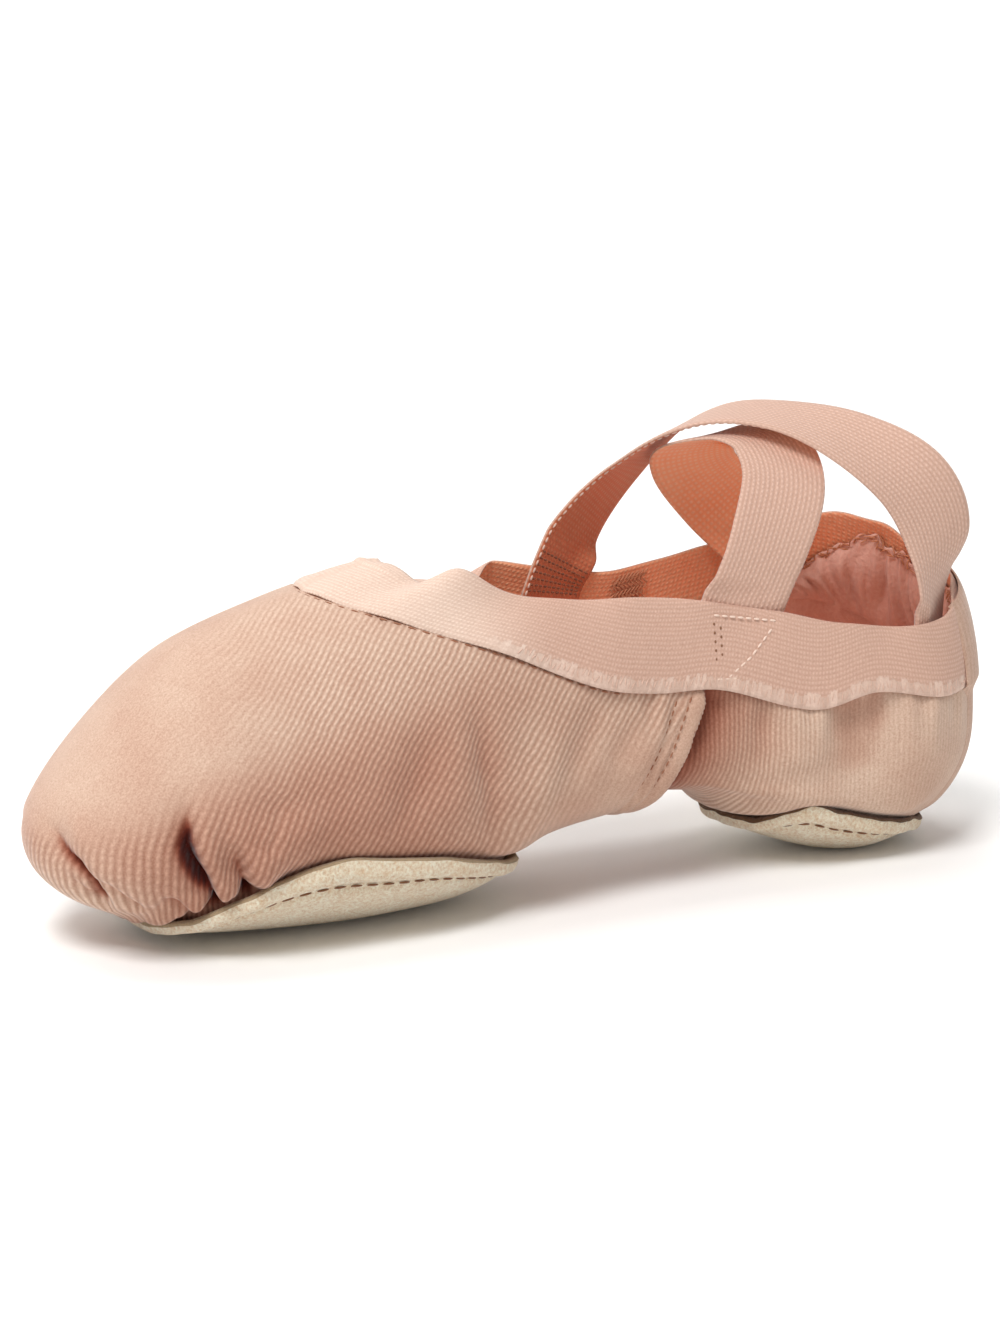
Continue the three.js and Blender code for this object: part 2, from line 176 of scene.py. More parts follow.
# Creases of the canvas: side; places (x, z) from the crease's start to its end; how far it spreads towards
# the toe and towards the heel; depth; and height of the fold on its heel side
CREASES = (
    (
        LEFT,
        ((-92.5, 43), (-94.2, 36), (-94.5, 29), (-93, 24.5), (-89.5, 19), (-84.5, 12.5), (-80.5, 8)),
        2.8, 1.2, 6.2, 1.2,
    ),
    (LEFT, ((-85, 32), (-83.5, 25.5), (-81.5, 19.5), (-78.5, 14.5), (-76, 10)), 2.6, 1.2, 5.0, 1.2),
    (LEFT, ((-100, 17), (-97, 15.4), (-91, 12), (-86, 8.5)), 2.0, 1.4, 2.8, 0.7),
    (LEFT, ((-111.5, 20.5), (-108.3, 18.3), (-104, 14.7), (-100, 12)), 2.0, 1.6, 2.0, 0.4),
    (
        LEFT,
        ((-116, 35), (-116.2, 29), (-114.4, 22.8), (-111.5, 18.6), (-109, 15), (-105, 11.5)),
        3.0, 2.2, 3.6, 0.4,
    ),
    (LEFT, ((-117, 23), (-113.5, 17.5), (-108, 13), (-104, 10.5)), 1.6, 1.5, 1.2, 0.3),
    (LEFT, ((-72, 40), (-75, 33), (-77.5, 26)), 4.0, 3.0, 1.4, 0.3),
    (RIGHT, ((-96, 40), (-96, 29), (-92, 20), (-87, 12.5), (-83, 8)), 2.8, 1.2, 5.0, 1.0),
    (RIGHT, ((-86, 30), (-83, 20), (-79, 14), (-76, 9.5)), 2.4, 1.2, 4.2, 1.0),
    (RIGHT, ((-109, 22), (-103, 15), (-97, 11), (-93, 9)), 2.0, 1.6, 2.2, 0.4),
    (RIGHT, ((-116, 29), (-113, 20), (-107, 13), (-103, 10)), 2.4, 2.0, 2.4, 0.3),
    (RIGHT, ((-73, 30), (-70, 20), (-68, 13)), 2.4, 1.6, 2.2, 0.6),
)
# Of every crease: the radius of its bottom, and the depth past which its fold leans over it
CREASE_RADIUS = 0.6
HOOD_DEPTH = 3.5
# Soft troughs of the canvas: side; places (x, z); half width; depth, below 0 for a ridge
TROUGHS = (
    (LEFT, ((-14, 50), (-17, 42), (-21, 30), (-24, 15)), 8.5, 0.8),
    (LEFT, ((-25, 53), (-24, 40), (-20.5, 20)), 3.4, 1.5),
    (LEFT, ((-31, 46), (-31, 28)), 5.0, -0.9),
    (LEFT, ((-37, 48), (-42, 37), (-47, 26)), 4.6, 1.2),
    (LEFT, ((-56, 50), (-54, 28)), 9.0, -0.8),
    (LEFT, ((-3, 46), (-9, 28), (-12, 16)), 5.0, -0.9),
    (LEFT, ((9, 50), (0, 36), (-4, 28)), 4.5, 1.3),
    (LEFT, ((18, 44), (9, 32)), 3.0, 0.8),
    (LEFT, ((24, 42), (14, 27)), 3.0, -0.8),
    (LEFT, ((29, 44), (22, 28)), 2.6, 1.0),
    (LEFT, ((51, 42), (48, 26)), 5.0, 1.2),
    (LEFT, ((62, 42), (60, 25)), 5.5, -1.3),
    (LEFT, ((75, 46), (74, 32), (73, 20)), 8.5, 2.6),
    (LEFT, ((92, 41), (92, 22)), 7.0, -1.3),
    (LEFT, ((37, 23.5), (58, 20.5), (76, 16.5), (92, 12)), 2.4, -1.2),
    (RIGHT, ((-27, 50), (-25, 32), (-19, 16)), 8.0, 1.8),
    (RIGHT, ((14, 44), (4, 31)), 4.0, 0.9),
    (RIGHT, ((26, 42), (18, 28)), 3.0, 0.9),
    (RIGHT, ((58, 47), (60, 26)), 6.0, 1.8),
    (RIGHT, ((84, 50), (82, 24)), 6.0, 1.5),
    (RIGHT, ((37, 23.5), (58, 20.5), (76, 16.5), (92, 12)), 2.4, -1.0),
)

# Rows of stitches at the straps' ends: side, places (x, z) and pitch; and rows of needle holes on the left,
# drawn as small dark beads of thread, which are painted shade
STRAP_END_ROWS = (
    (LEFT, ((37.5, 64), (53, 61.5)), 2.0),
    (LEFT, ((52, 60), (46, 54), (40, 50)), 2.0),
    (LEFT, ((37, 50), (42, 49.7)), 1.9),
    (RIGHT, ((10, 66), (27, 63), (27, 56), (10, 58), (10, 66)), 2.0),
    (RIGHT, ((58, 66), (74, 68), (74, 60), (58, 58), (58, 66)), 2.0),
)
NEEDLE_HOLE_ROWS = (((37.6, 63), (37.2, 49)), ((39.2, 62), (38.6, 48.5)))
# Pieces of stitches: length, width and height of a stitch, its thread, and the slot that it belongs to
STITCHES = {
    "collar_overlock": ((2.1, 0.36, 0.25), "overlock_thread", "elastic"),
    "throat_seam_stitches": ((1.9, 0.45, 0.35), "rust_thread", "canvas"),
    "strap_end_stitches": ((1.5, 0.55, 0.45), "pale_thread", "elastic"),
    "strap_end_needle_holes": ((0.7, 0.55, 0.15), "dark_thread", "elastic"),
    "inside_overlock": ((2.2, 0.5, 0.5), "lining_thread", "lining"),
    "strap_end_tacks": ((1.3, 0.6, 0.5), "rust_thread", "elastic"),
    "strap_edge_stitches": ((1.4, 0.6, 0.5), "pale_thread", "elastic"),
    "waist_seam_stitches": ((1.5, 0.45, 0.35), "rust_thread", "canvas"),
    "forefoot_pad_stitches": ((2.9, 0.6, 0.6), "dark_thread", "suede"),
    "heel_pad_stitches": ((2.9, 0.6, 0.6), "dark_thread", "suede"),
}

# Points of a mesh that are closer than this are merged, and shorter edges than this dissolved, in metres
WELD = 2e-6
SLIVER = 1e-7


def curve(places, values, at):
    """A cubic between each two rows of a table, with each row's slope taken from its neighbours, level beyond
    the ends."""
    places, values = np.asarray(places, float), np.asarray(values, float)
    index = np.arange(len(places))
    before, after = np.maximum(index - 1, 0), np.minimum(index + 1, len(places) - 1)
    slopes = (values[after] - values[before]) / (places[after] - places[before])
    at = np.clip(at, places[0], places[-1])
    i = np.clip(np.searchsorted(places, at), 1, len(places) - 1)
    span = places[i] - places[i - 1]
    t = (at - places[i - 1]) / span
    bend = t * (1 - t) ** 2 * slopes[i - 1] - t**2 * (1 - t) * slopes[i]
    return values[i - 1] + (values[i] - values[i - 1]) * t**2 * (3 - 2 * t) + span * bend


def smooth_step(low, high, at):
    """0 below low, 1 above high, and a smooth S between them."""
    t = np.clip((at - low) / (high - low), 0, 1)
    return t * t * (3 - 2 * t)


def bell(at, middle, width):
    """1 at the middle, falling off on both sides as a bell curve of a width."""
    return np.exp(-(((at - middle) / width) ** 2))


def unit(vectors):
    """The vectors at length 1."""
    return vectors / np.maximum(np.linalg.norm(vectors, axis=-1, keepdims=True), 1e-12)


def lengths_along(path):
    """How far along a path each of its points is."""
    return np.concatenate([[0], np.cumsum(np.linalg.norm(np.diff(path, axis=0), axis=1))])


def closing(distance, rounding):
    """How open a rounded end still is: 1 before the rounding starts, and 0 at its tip."""
    return (1 - np.clip(distance / rounding, 0, 1) ** ROUNDING_POWER) ** (1 / ROUNDING_POWER)


def section(x):
    """Half width, underside, top, widest height and both powers of the last's sections at x."""
    width, sole, top, widest, under, over = (
        curve(TOE_X + SECTIONS[:, 0] * LENGTH, SECTIONS[:, column], x) for column in range(1, 7)
    )
    toe = closing(TOE_X + TOE_ROUNDING - x, TOE_ROUNDING)
    heel = closing(x - HEEL_X + HEEL_ROUNDING, HEEL_ROUNDING)

    def gather(z):
        """A height, drawn in to the height of a tip where the end closes."""
        return HEEL_TIP_HEIGHT + (TOE_TIP_HEIGHT + (z - TOE_TIP_HEIGHT) * toe - HEEL_TIP_HEIGHT) * heel

    half = width * BALL_WIDTH * toe * heel / 2
    return half, gather(sole), gather(top * INSTEP_HEIGHT), gather(widest), under, over


def share_at(x):
    """The share of the way from the toe tip to the back of the heel whose cosine spacing gives x."""
    return np.arccos(np.clip(1 - 2 * (np.asarray(x) - TOE_X) / LENGTH, -1, 1)) / np.pi


def x_at(share):
    """The place along x at a share of the way from the toe tip to the back of the heel, in cosine spacing."""
    return TOE_X + LENGTH * (1 - np.cos(np.pi * share)) / 2


def last_point(share, turn):
    """A point of the last: a superellipse section at the share's x, gone round by turn from the right side
    over the top."""
    share, turn = np.broadcast_arrays(share, turn)
    x = x_at(share)
    half, sole, top, widest, under, over = section(x)
    c, h = np.cos(turn), np.sin(turn)
    power = 2 / np.where(h >= 0, over, under)
    reach = np.where(h >= 0, top - widest, widest - sole)
    y = half * np.sign(c) * np.abs(c) ** power
    z = widest + reach * np.sign(h) * np.abs(h) ** power
    return np.stack([x, y, z], -1)


def last_normal(share, turn):
    """The last's outward direction: the cross product of a small step round it and one along it."""
    step = 1e-3
    share = np.clip(share, 4 * step, 1 - 4 * step)
    along = last_point(share + step, turn) - last_point(share - step, turn)
    around = last_point(share, turn + step) - last_point(share, turn - step)
    return unit(np.cross(around, along))


def grown(share, turn, grow):
    """A point of the last moved outwards by grow."""
    return last_point(share, turn) + last_normal(share, turn) * np.asarray(grow)[..., None]


def section_at(x, z):
    """Half width of the section at x, whether z is in its upper half, how far z is from the widest height
    as a share of that half, and that half's power."""
    half, sole, top, widest, under, over = section(x)
    up = z >= widest
    reach = np.maximum(np.where(up, top - widest, widest - sole), 1e-6)
    return half, up, np.clip(np.abs(z - widest) / reach, 0, 1), np.where(up, over, under)


def turn_at(x, z, side):
    """The turn at which a side of the section at x has the height z, at most the top or the bottom."""
    _, up, climb, power = section_at(x, z)
    rise = np.where(up, 1, -1) * np.arcsin(climb ** (power / 2))
    return rise if side == RIGHT else np.pi - rise


def turn_below(x, y):
    """The turn of the point under the section at x that has the offset y from the middle."""
    half, _, _, _, under, _ = section(x)
    c = np.sign(y) * np.clip(np.abs(y) / np.maximum(half, 1e-6), 0, 0.9995) ** (under / 2)
    return -np.arccos(c)


def half_width_at(x, z):
    """Half width of the last at x and height z."""
    half, _, climb, power = section_at(x, z)
    return half * (1 - climb**power) ** (1 / power)


def collar_height(side, edge, x):
    """Height of an edge of the collar band at x."""
    rows = np.array(COLLAR[side, edge])
    return curve(rows[:, 0], rows[:, 1], x)


def collar_at(y, edge, x):
    """Height of an edge of the collar band at x, on the side that y is on."""
    return np.where(y < 0, collar_height(LEFT, edge, x), collar_height(RIGHT, edge, x))


def on_side(side, places, grow=0.0):
    """Points on a side of the last, grown, from rows of (x, z)."""
    x, z = np.asarray(places, float).T
    return grown(share_at(x), turn_at(x, z, side), np.full(len(x), grow))


def polyline_distance(points, normals, path):
    """For each point, its distance from a path, signed by the side that it lies on seen from outside, how far
    along it is, and the direction on the surface in which the distance grows."""
    starts = lengths_along(path)
    best = np.full(points.shape[:-1], np.inf)
    along = np.zeros_like(best)
    off, way = np.zeros(points.shape), np.zeros(points.shape)
    for a, b, start, step in zip(path[:-1], path[1:], starts, np.diff(starts)):
        t = np.clip(((points - a) @ (b - a)) / step**2, 0, 1)
        apart = points - (a + t[..., None] * (b - a))
        distance = np.linalg.norm(apart, axis=-1)
        nearer = distance < best
        best = np.where(nearer, distance, best)
        along = np.where(nearer, (start + t * step) / starts[-1], along)
        off = np.where(nearer[..., None], apart, off)
        way = np.where(nearer[..., None], b - a, way)
    across = unit(np.cross(normals, way))
    return best * np.where((across * off).sum(-1) < 0, -1, 1), along, across


def seam_at(z):
    """The waist seam's place along x at a height."""
    heights, places = np.array(WAIST_SEAM, float).T
    return curve(heights, places, z)


def seam_offset(points):
    """How far behind the waist seam each point is, along x."""
    return points[..., 0] - seam_at(points[..., 2])


def pad_span(pad):
    """The middle of a pad along x, and half its length."""
    return (pad["front"] + pad["back"]) / 2, (pad["back"] - pad["front"]) / 2


def pad_distance(points, pad):
    """Rough distance in plan from a pad's edge, in mm, positive outside it."""
    middle, reach = pad_span(pad)
    along = (points[..., 0] - middle) / reach
    across = points[..., 1] / (pad["half"] * (1 - pad["taper"] * np.clip(along, -1, 1)))
    radius = (np.abs(along) ** pad["power"] + np.abs(across) ** pad["power"]) ** (1 / pad["power"])
    plan = np.hypot(points[..., 0] - middle, points[..., 1])
    return plan * (1 - 1 / np.maximum(radius, 1e-3))


def pleats(points, normals, toe):
    """Relief and lean of the pleats along their paths. Each is a sharp dip, widest where it
    starts and open between its ends outside the pad, with a fold on its heel side that leans over it if it
    is deep."""
    relief, lean = np.zeros(points.shape[:-1]), np.zeros(points.shape)
    for side, places, toeward, heelward, depth, fold in CREASES:
        d, along, across = polyline_distance(points, normals, on_side(side, places))
        d, across = d * -side, across * -side
        open_up = smooth_step(0, 0.45, along) * smooth_step(1.0, 0.85, along) * smooth_step(-4.0, 0.5, toe)
        spread = np.where(d < 0, toeward, heelward) * (1.35 - 0.8 * along)
        rounded = np.hypot(d, CREASE_RADIUS) - CREASE_RADIUS
        dip = np.exp(-rounded / spread) * smooth_step(14, 7, np.abs(d))
        relief += open_up * (fold * bell(d, 2.2 * heelward + 1.0, 2.4) - depth * dip)
        hood = bell(d, 2.0 * heelward, 1.2 * heelward) * smooth_step(0.3, 0.7, along)
        lean -= across * (0.16 * max(depth - HOOD_DEPTH, 0) * open_up * hood)[..., None]
    return relief, lean


def troughs(points, normals):
    """Relief of the soft troughs and ridges: a bell curve across each path, faded at its ends."""
    relief = np.zeros(points.shape[:-1])
    for side, places, spread, depth in TROUGHS:
        d, along, _ = polyline_distance(points, normals, on_side(side, places))
        fade = smooth_step(-0.15, 0.3, along) * smooth_step(1.15, 0.7, along)
        relief -= depth * fade * bell(d, 0, spread)
    return relief


def pad_edges(points, toe, heel):
    """Relief round the pads: a roll of canvas outside each edge, highest where the pleats pull it in, a
    pinch at the edge, and gathers at the toe, as a swayed sine of the bearing from the ball of the foot."""
    x, y, z = points[..., 0], points[..., 1], points[..., 2]
    pulled = smooth_step(-60, -74, x) * smooth_step(-102, -88, x)
    relief = (0.3 + 2.0 * pulled) * bell(toe, *PAD_ROLL) + 1.2 * bell(heel, *PAD_ROLL)
    relief -= bell(toe, *PAD_PINCH) + bell(heel, *PAD_PINCH)
    bearing = np.arctan2(y, -(x + 66))
    gathers = np.abs(np.sin(bearing * 15 + 0.8 * np.sin(bearing * 6))) ** 1.2 - 0.6
    fade = bell(np.maximum(toe, 0), 0, 8) * smooth_step(1.7, 1.0, np.abs(bearing)) * smooth_step(-6, 0, toe)
    return smooth_step(38, 30, z) * (relief + gathers * fade)


def waist_and_collar(points):
    """Relief, and lean towards the heel, of the waist seam's welt with its sewn grooves and the hollow
    behind it, of puckers under the collar, and of the canvas's top edge where it is tucked under the
    band."""
    x, y, z = points[..., 0], points[..., 1], points[..., 2]
    behind = seam_offset(points)
    hang = collar_at(y, "lower", x) - z
    puckers = 0.4 * np.sin(x * 0.62 + np.sign(y)) + 0.25 * np.sin(x * 1.07 + 2)
    puckers *= bell(np.maximum(hang, 0), 0, 9) * smooth_step(12, 22, x) * smooth_step(2, 8, np.abs(behind))
    grooves = sum(depth * bell(behind, offset, width) for offset, depth, width, _ in WAIST_ROWS)
    welt = 1.4 * bell(behind, -2.2, 3.0) - grooves
    hollow = 4.2 * smooth_step(-0.2, 1.2, behind) * np.exp(-np.maximum(behind - 1.2, 0) / 4.5)
    below_band = smooth_step(-1, 4, hang)
    top_edge = smooth_step(-2.2, -4.8, hang)
    tucked = 0.9 * smooth_step(0.6, -1.4, hang) * (1 - top_edge) - 0.1 * top_edge
    return puckers + (welt - hollow) * below_band - tucked, 1.6 * bell(behind, -0.4, 1.4) * below_band


def canvas_shape(points, normals):
    """How far the canvas lies from the last, as vectors and as the height along the normals: pleats,
    troughs, pad edges, waist and collar added up, and nearly flattened under the back strip."""
    toe, heel = pad_distance(points, FOREFOOT_PAD), pad_distance(points, HEEL_PAD)
    relief, lean = pleats(points, normals, toe)
    waist, heelward = waist_and_collar(points)
    relief += troughs(points, normals) + pad_edges(points, toe, heel) + waist
    lean[..., 0] += heelward
    kept = 1 - 0.9 * smooth_step(86, 94, points[..., 0]) * smooth_step(24, 20, np.abs(points[..., 1]))
    return (normals * relief[..., None] + lean) * kept[..., None], relief * kept


def canvas_shade(points, normals, relief):
    """Painted light and shade of the canvas, as the power of a deep brown in its colour, 0 for none: a little
    deeper in front of the waist seam, less so near the arch, and lighter behind it; painted light on top of
    the foot and low at the front of the toe; painted shade low on the forefoot's sides, in the troughs, in
    the hollow behind the waist seam and most of all in the pleats."""
    x, z, steep = points[..., 0], points[..., 2], normals[..., 2]
    behind = seam_offset(points)
    even = np.where(behind < 0, 0.05 - 0.04 * smooth_step(-30, 0, x), -0.05)
    # Painted light: lighter on top of the foot, and low at the front of the toe
    painted_light = 0.08 * smooth_step(0.2, 0.7, steep) + 0.12 * smooth_step(-90, -102, x) * smooth_step(24, 12, z)
    # Painted shade on the forefoot where it faces sideways or down
    side = 0.12 * smooth_step(0.5, 0.0, steep) * smooth_step(-14, -44, x) * smooth_step(-112, -96, x)
    # Painted shade in the hollow behind the waist seam, fading towards the heel
    seam = (0.6 * np.exp(-np.maximum(behind, 0) / 6) + 0.2 * bell(behind, 0, 18)) * (behind > 0)
    # Painted shade in the troughs, more behind the waist seam
    painted_trough_shade = np.where(behind > 0, 0.14, 0.08) * smooth_step(-0.4, -2.4, relief)
    # Painted shade in the pleats, in front of the waist seam
    painted_pleat_shade = 1.3 * smooth_step(-1.7, -4.4, relief) * (behind < 0)
    return even + side + seam + painted_trough_shade + painted_pleat_shade - painted_light


def put_mesh(name, points, faces, tags, materials, weave=None, shade=None, closed=True):
    """A mesh object from points in mm and faces of four corners, with a material for each tag. weave and
    shade become attributes of the points."""
    mesh = bpy.data.meshes.new(name)
    mesh.vertices.add(len(points))
    mesh.vertices.foreach_set("co", (points * MM).astype(np.float32).ravel())
    mesh.loops.add(faces.size)
    mesh.loops.foreach_set("vertex_index", faces.astype(np.int32).ravel())
    mesh.polygons.add(len(faces))
    mesh.polygons.foreach_set("loop_start", np.arange(0, faces.size, 4, dtype=np.int32))
    mesh.polygons.foreach_set("material_index", tags.astype(np.int32))
    mesh.polygons.foreach_set("use_smooth", np.ones(len(faces), dtype=bool))
    if weave is not None:
        layer = mesh.attributes.new("weave", "FLOAT_VECTOR", "POINT")
        layer.data.foreach_set("vector", weave.astype(np.float32).ravel())
    if shade is not None:
        layer = mesh.attributes.new("shade", "FLOAT", "POINT")
        layer.data.foreach_set("value", shade.astype(np.float32).ravel())
    mesh.update(calc_edges=True)
    work = bmesh.new()
    work.from_mesh(mesh)
    bmesh.ops.remove_doubles(work, verts=work.verts, dist=WELD)
    bmesh.ops.dissolve_degenerate(work, edges=work.edges, dist=SLIVER)
    if closed:
        bmesh.ops.recalc_face_normals(work, faces=work.faces)
    work.to_mesh(mesh)
    work.free()
    for material in materials:
        mesh.materials.append(material)
    piece = bpy.data.objects.new(name, mesh)
    bpy.context.collection.objects.link(piece)
    return piece


def grid_faces(rows, columns, start=0, wrap=False):
    """Corners of the faces between the points of a grid, stored row by row from start. wrap joins the last
    row to the first."""
    i, j = np.meshgrid(np.arange(rows if wrap else rows - 1), np.arange(columns - 1), indexing="ij")
    below, above = start + i * columns + j, start + (i + 1) % rows * columns + j
    return np.stack([below, above, above + 1, below + 1], -1).reshape(-1, 4)


def edge_faces(first, second):
    """Corners of the faces between two rows of point numbers."""
    return np.stack([first[:-1], first[1:], second[1:], second[:-1]], -1)


def two_faced(outer, inner, wrap=False, ends=True, open_rows=None):
    """Points, faces and tags of a layer between two grids: tag 0 outside, 1 inside and 2 on the cut edges.
    The inner grid may have fewer columns. open_rows tells which rows have a cut edge at both ends; ends
    puts cut edges on the first and last row."""
    rows = len(outer)
    points = np.concatenate([outer.reshape(-1, 3), inner.reshape(-1, 3)])
    count = outer[..., 0].size
    number = (np.arange(count).reshape(rows, -1), count + np.arange(inner[..., 0].size).reshape(rows, -1))
    parts = [grid_faces(*outer.shape[:2], 0, wrap), grid_faces(*inner.shape[:2], count, wrap)[:, ::-1]]
    loop = np.arange(rows + 1) % rows if wrap else np.arange(rows)
    for column, turned in ((0, False), (-1, True)):
        strip = edge_faces(number[0][loop, column], number[1][loop, column])
        if open_rows is not None:
            strip = strip[open_rows[:-1] | open_rows[1:]]
        parts.append(strip[:, ::-1] if turned else strip)
    if ends and not wrap:
        parts += [edge_faces(number[0][0], number[1][0])[:, ::-1], edge_faces(number[0][-1], number[1][-1])]
    tags = np.repeat([0, 1] + [2] * (len(parts) - 2), [len(part) for part in parts])
    return points, np.concatenate(parts), tags


def beans(name, centres, along, out, size, material):
    """Stitches as small ellipsoids: each is its centre plus three half axes, along the thread, across it and
    outwards, turned through a grid of two angles. size is length, width and height."""
    along, out = unit(along), unit(out)
    across = np.cross(out, along)
    rings, sides = 6, 8
    a = np.linspace(-np.pi / 2, np.pi / 2, rings)[:, None]
    b = np.linspace(0, 2 * np.pi, sides + 1)[None, :]
    ball = np.broadcast_arrays(np.sin(a), np.cos(a) * np.cos(b), np.cos(a) * np.sin(b))
    axes = np.stack(ball, -1) * np.array(size) / 2
    frames = np.stack([along, across, out], axis=1)
    points = centres[:, None, None, :] + np.einsum("rck,nkd->nrcd", axes, frames)
    starts = np.arange(len(centres)) * rings * (sides + 1)
    faces = (grid_faces(rings, sides + 1)[None] + starts[:, None, None]).reshape(-1, 4)
    return put_mesh(name, points.reshape(-1, 3), faces, np.zeros(len(faces)), [material])


def spaced(path, pitch):
    """Points at an even pitch along a path, with the path's direction at each and how far along each is."""
    lengths = lengths_along(path)
    places = np.arange(pitch / 2, lengths[-1], pitch)

    def put(at):
        """Points of the path at lengths along it."""
        return np.stack([np.interp(at, lengths, path[:, k]) for k in range(3)], -1)

    return put(places), unit(put(places + 0.2) - put(places - 0.2)), places


# Materials


def srgb(code):
    """A hex sRGB colour as linear RGBA."""
    values = [int(code[i : i + 2], 16) / 255 for i in (1, 3, 5)]
    return tuple(v / 12.92 if v <= 0.04045 else ((v + 0.055) / 1.055) ** 2.4 for v in values) + (1.0,)


def add_node(tree, kind, *values, output=0, **settings):
    """Adds a node with its settings, gives its inputs in order a number, a colour or a link, and returns
    one of its outputs."""
    made = tree.nodes.new("ShaderNode" + kind)
    for key, value in settings.items():
        setattr(made, key, value)
    for socket, value in zip([each for each in made.inputs if each.enabled], values):
        if isinstance(value, bpy.types.NodeSocket):
            tree.links.new(value, socket)
        else:
            socket.default_value = value
    return [each for each in made.outputs if each.enabled][output]


def blank_material(name, roughness, sheen, sheen_roughness=0.5):
    """A new material with a matt Principled shader. Returns the material, add_node for its tree, and the
    shader."""
    material = bpy.data.materials.new(name)
    material.use_nodes = True
    shader = material.node_tree.nodes["Principled BSDF"]
    shader.inputs["Roughness"].default_value = roughness
    shader.inputs["IOR"].default_value = 1.45
    shader.inputs["Specular IOR Level"].default_value = 0.2
    shader.inputs["Sheen Weight"].default_value = sheen
    shader.inputs["Sheen Roughness"].default_value = sheen_roughness
    return material, partial(add_node, material.node_tree), shader


def finish_cloth(node, shader, colour, height, distance):
    """Links a colour and a bump, whose full height is a distance in metres, to a shader."""
    links = shader.id_data.links
    links.new(colour, shader.inputs["Base Color"])
    links.new(node("Bump", 1.0, distance, BUMP_FILTER, height), shader.inputs["Normal"])


def weave_axes(node):
    """The three parts of a piece's own weave coordinates, in mm, and its Object coordinates."""
    weave = node("Attribute", output=1, attribute_name="weave")
    return *node("SeparateXYZ", weave).node.outputs, node("TexCoord").node.outputs["Object"]


def ripple(node, place, pitch):
    """A wave from 0 to 1 along a coordinate in mm, at a pitch in mm."""
    wave = node("Math", node("Math", place, 2 * math.pi / pitch, operation="MULTIPLY"), operation="SINE")
    return node("Math", wave, 0.5, 0.5, operation="MULTIPLY_ADD")


def staggered(node, along, across, pitch, shift):
    """A coordinate along threads that lie a pitch apart, each shifted from the one before."""
    thread = node("Math", node("Math", across, pitch, operation="DIVIDE"), operation="FLOOR")
    return node("Math", thread, shift, along, operation="MULTIPLY_ADD")


def lattice(node, along, across, pitch):
    """Small rounded loops in staggered rows: one wave along each cord, shifted by half a loop from cord to
    cord."""
    loops = ripple(node, staggered(node, along, across, pitch, 0.55 * pitch), 1.1 * pitch)
    loops = node("Math", loops, 0.7, 0.3, operation="MULTIPLY_ADD")
    return node("Math", ripple(node, across, pitch), loops, operation="MULTIPLY")


def with_tone_and_painted_light(node, colour, uneven):
    """A colour multiplied by a deep brown to the power of the piece's shade plus an uneven tone: painted
    light where that power is below 0 and painted shade where it is above."""
    shade = node("Math", node("Attribute", output=2, attribute_name="shade"), uneven, operation="ADD")
    painted_shade_brown = node("Gamma", srgb("#864A3D"), shade)
    return node("Mix", 1.0, colour, painted_shade_brown, data_type="RGBA", blend_type="MULTIPLY")


def canvas_material(settings):
    """Stretch cotton canvas, woven in a steep twill: raised ribs broken into short floats, matt, with a
    bloom of lint, and painted light and shade from the piece's shade attribute."""
    material, node, shader = blank_material("stretch_cotton_twill_canvas", 0.95, 0.3, 0.35)
    rib, along, strength, place = weave_axes(node)
    pitch = settings.rib_pitch / MM
    rib = node("Math", node("TexNoise", place, 1 / (6.0 * MM)), 0.9, rib, operation="MULTIPLY_ADD")
    run = staggered(node, along, rib, pitch, 0.45 * TWILL_FLOAT)
    run = node("Math", node("TexNoise", place, 1 / (1.6 * MM)), 1.4, run, operation="MULTIPLY_ADD")
    floats = node("Math", ripple(node, run, TWILL_FLOAT), 0.4, 0.6, operation="MULTIPLY_ADD")
    ribs = node("Math", ripple(node, rib, pitch), floats, operation="MULTIPLY")
    lint = node("TexNoise", place, 1 / (0.45 * MM), 3.0, 0.7)
    plain = node("Math", lint, 0.5, 0.18, operation="MULTIPLY_ADD")
    crest = node("Mix", strength, plain, ribs, data_type="FLOAT")
    tone = node("Math", crest, 0.48, 0.02, operation="MULTIPLY_ADD")
    tone = node("Math", lint, 0.6, tone, operation="MULTIPLY_ADD")
    base = node("Mix", tone, settings.canvas_dark, settings.canvas_light, data_type="RGBA")
    uneven = node("TexNoise", place, 1 / (14.0 * MM), 3.0)
    blotches = node("Math", uneven, 0.16, -0.08, operation="MULTIPLY_ADD")
    height = node("Math", lint, 0.3, crest, operation="MULTIPLY_ADD")
    # Painted light and shade from the shade attribute, with the blotches as uneven tone
    finish_cloth(node, shader, with_tone_and_painted_light(node, base, blotches), height, 0.15 * MM)
    return material


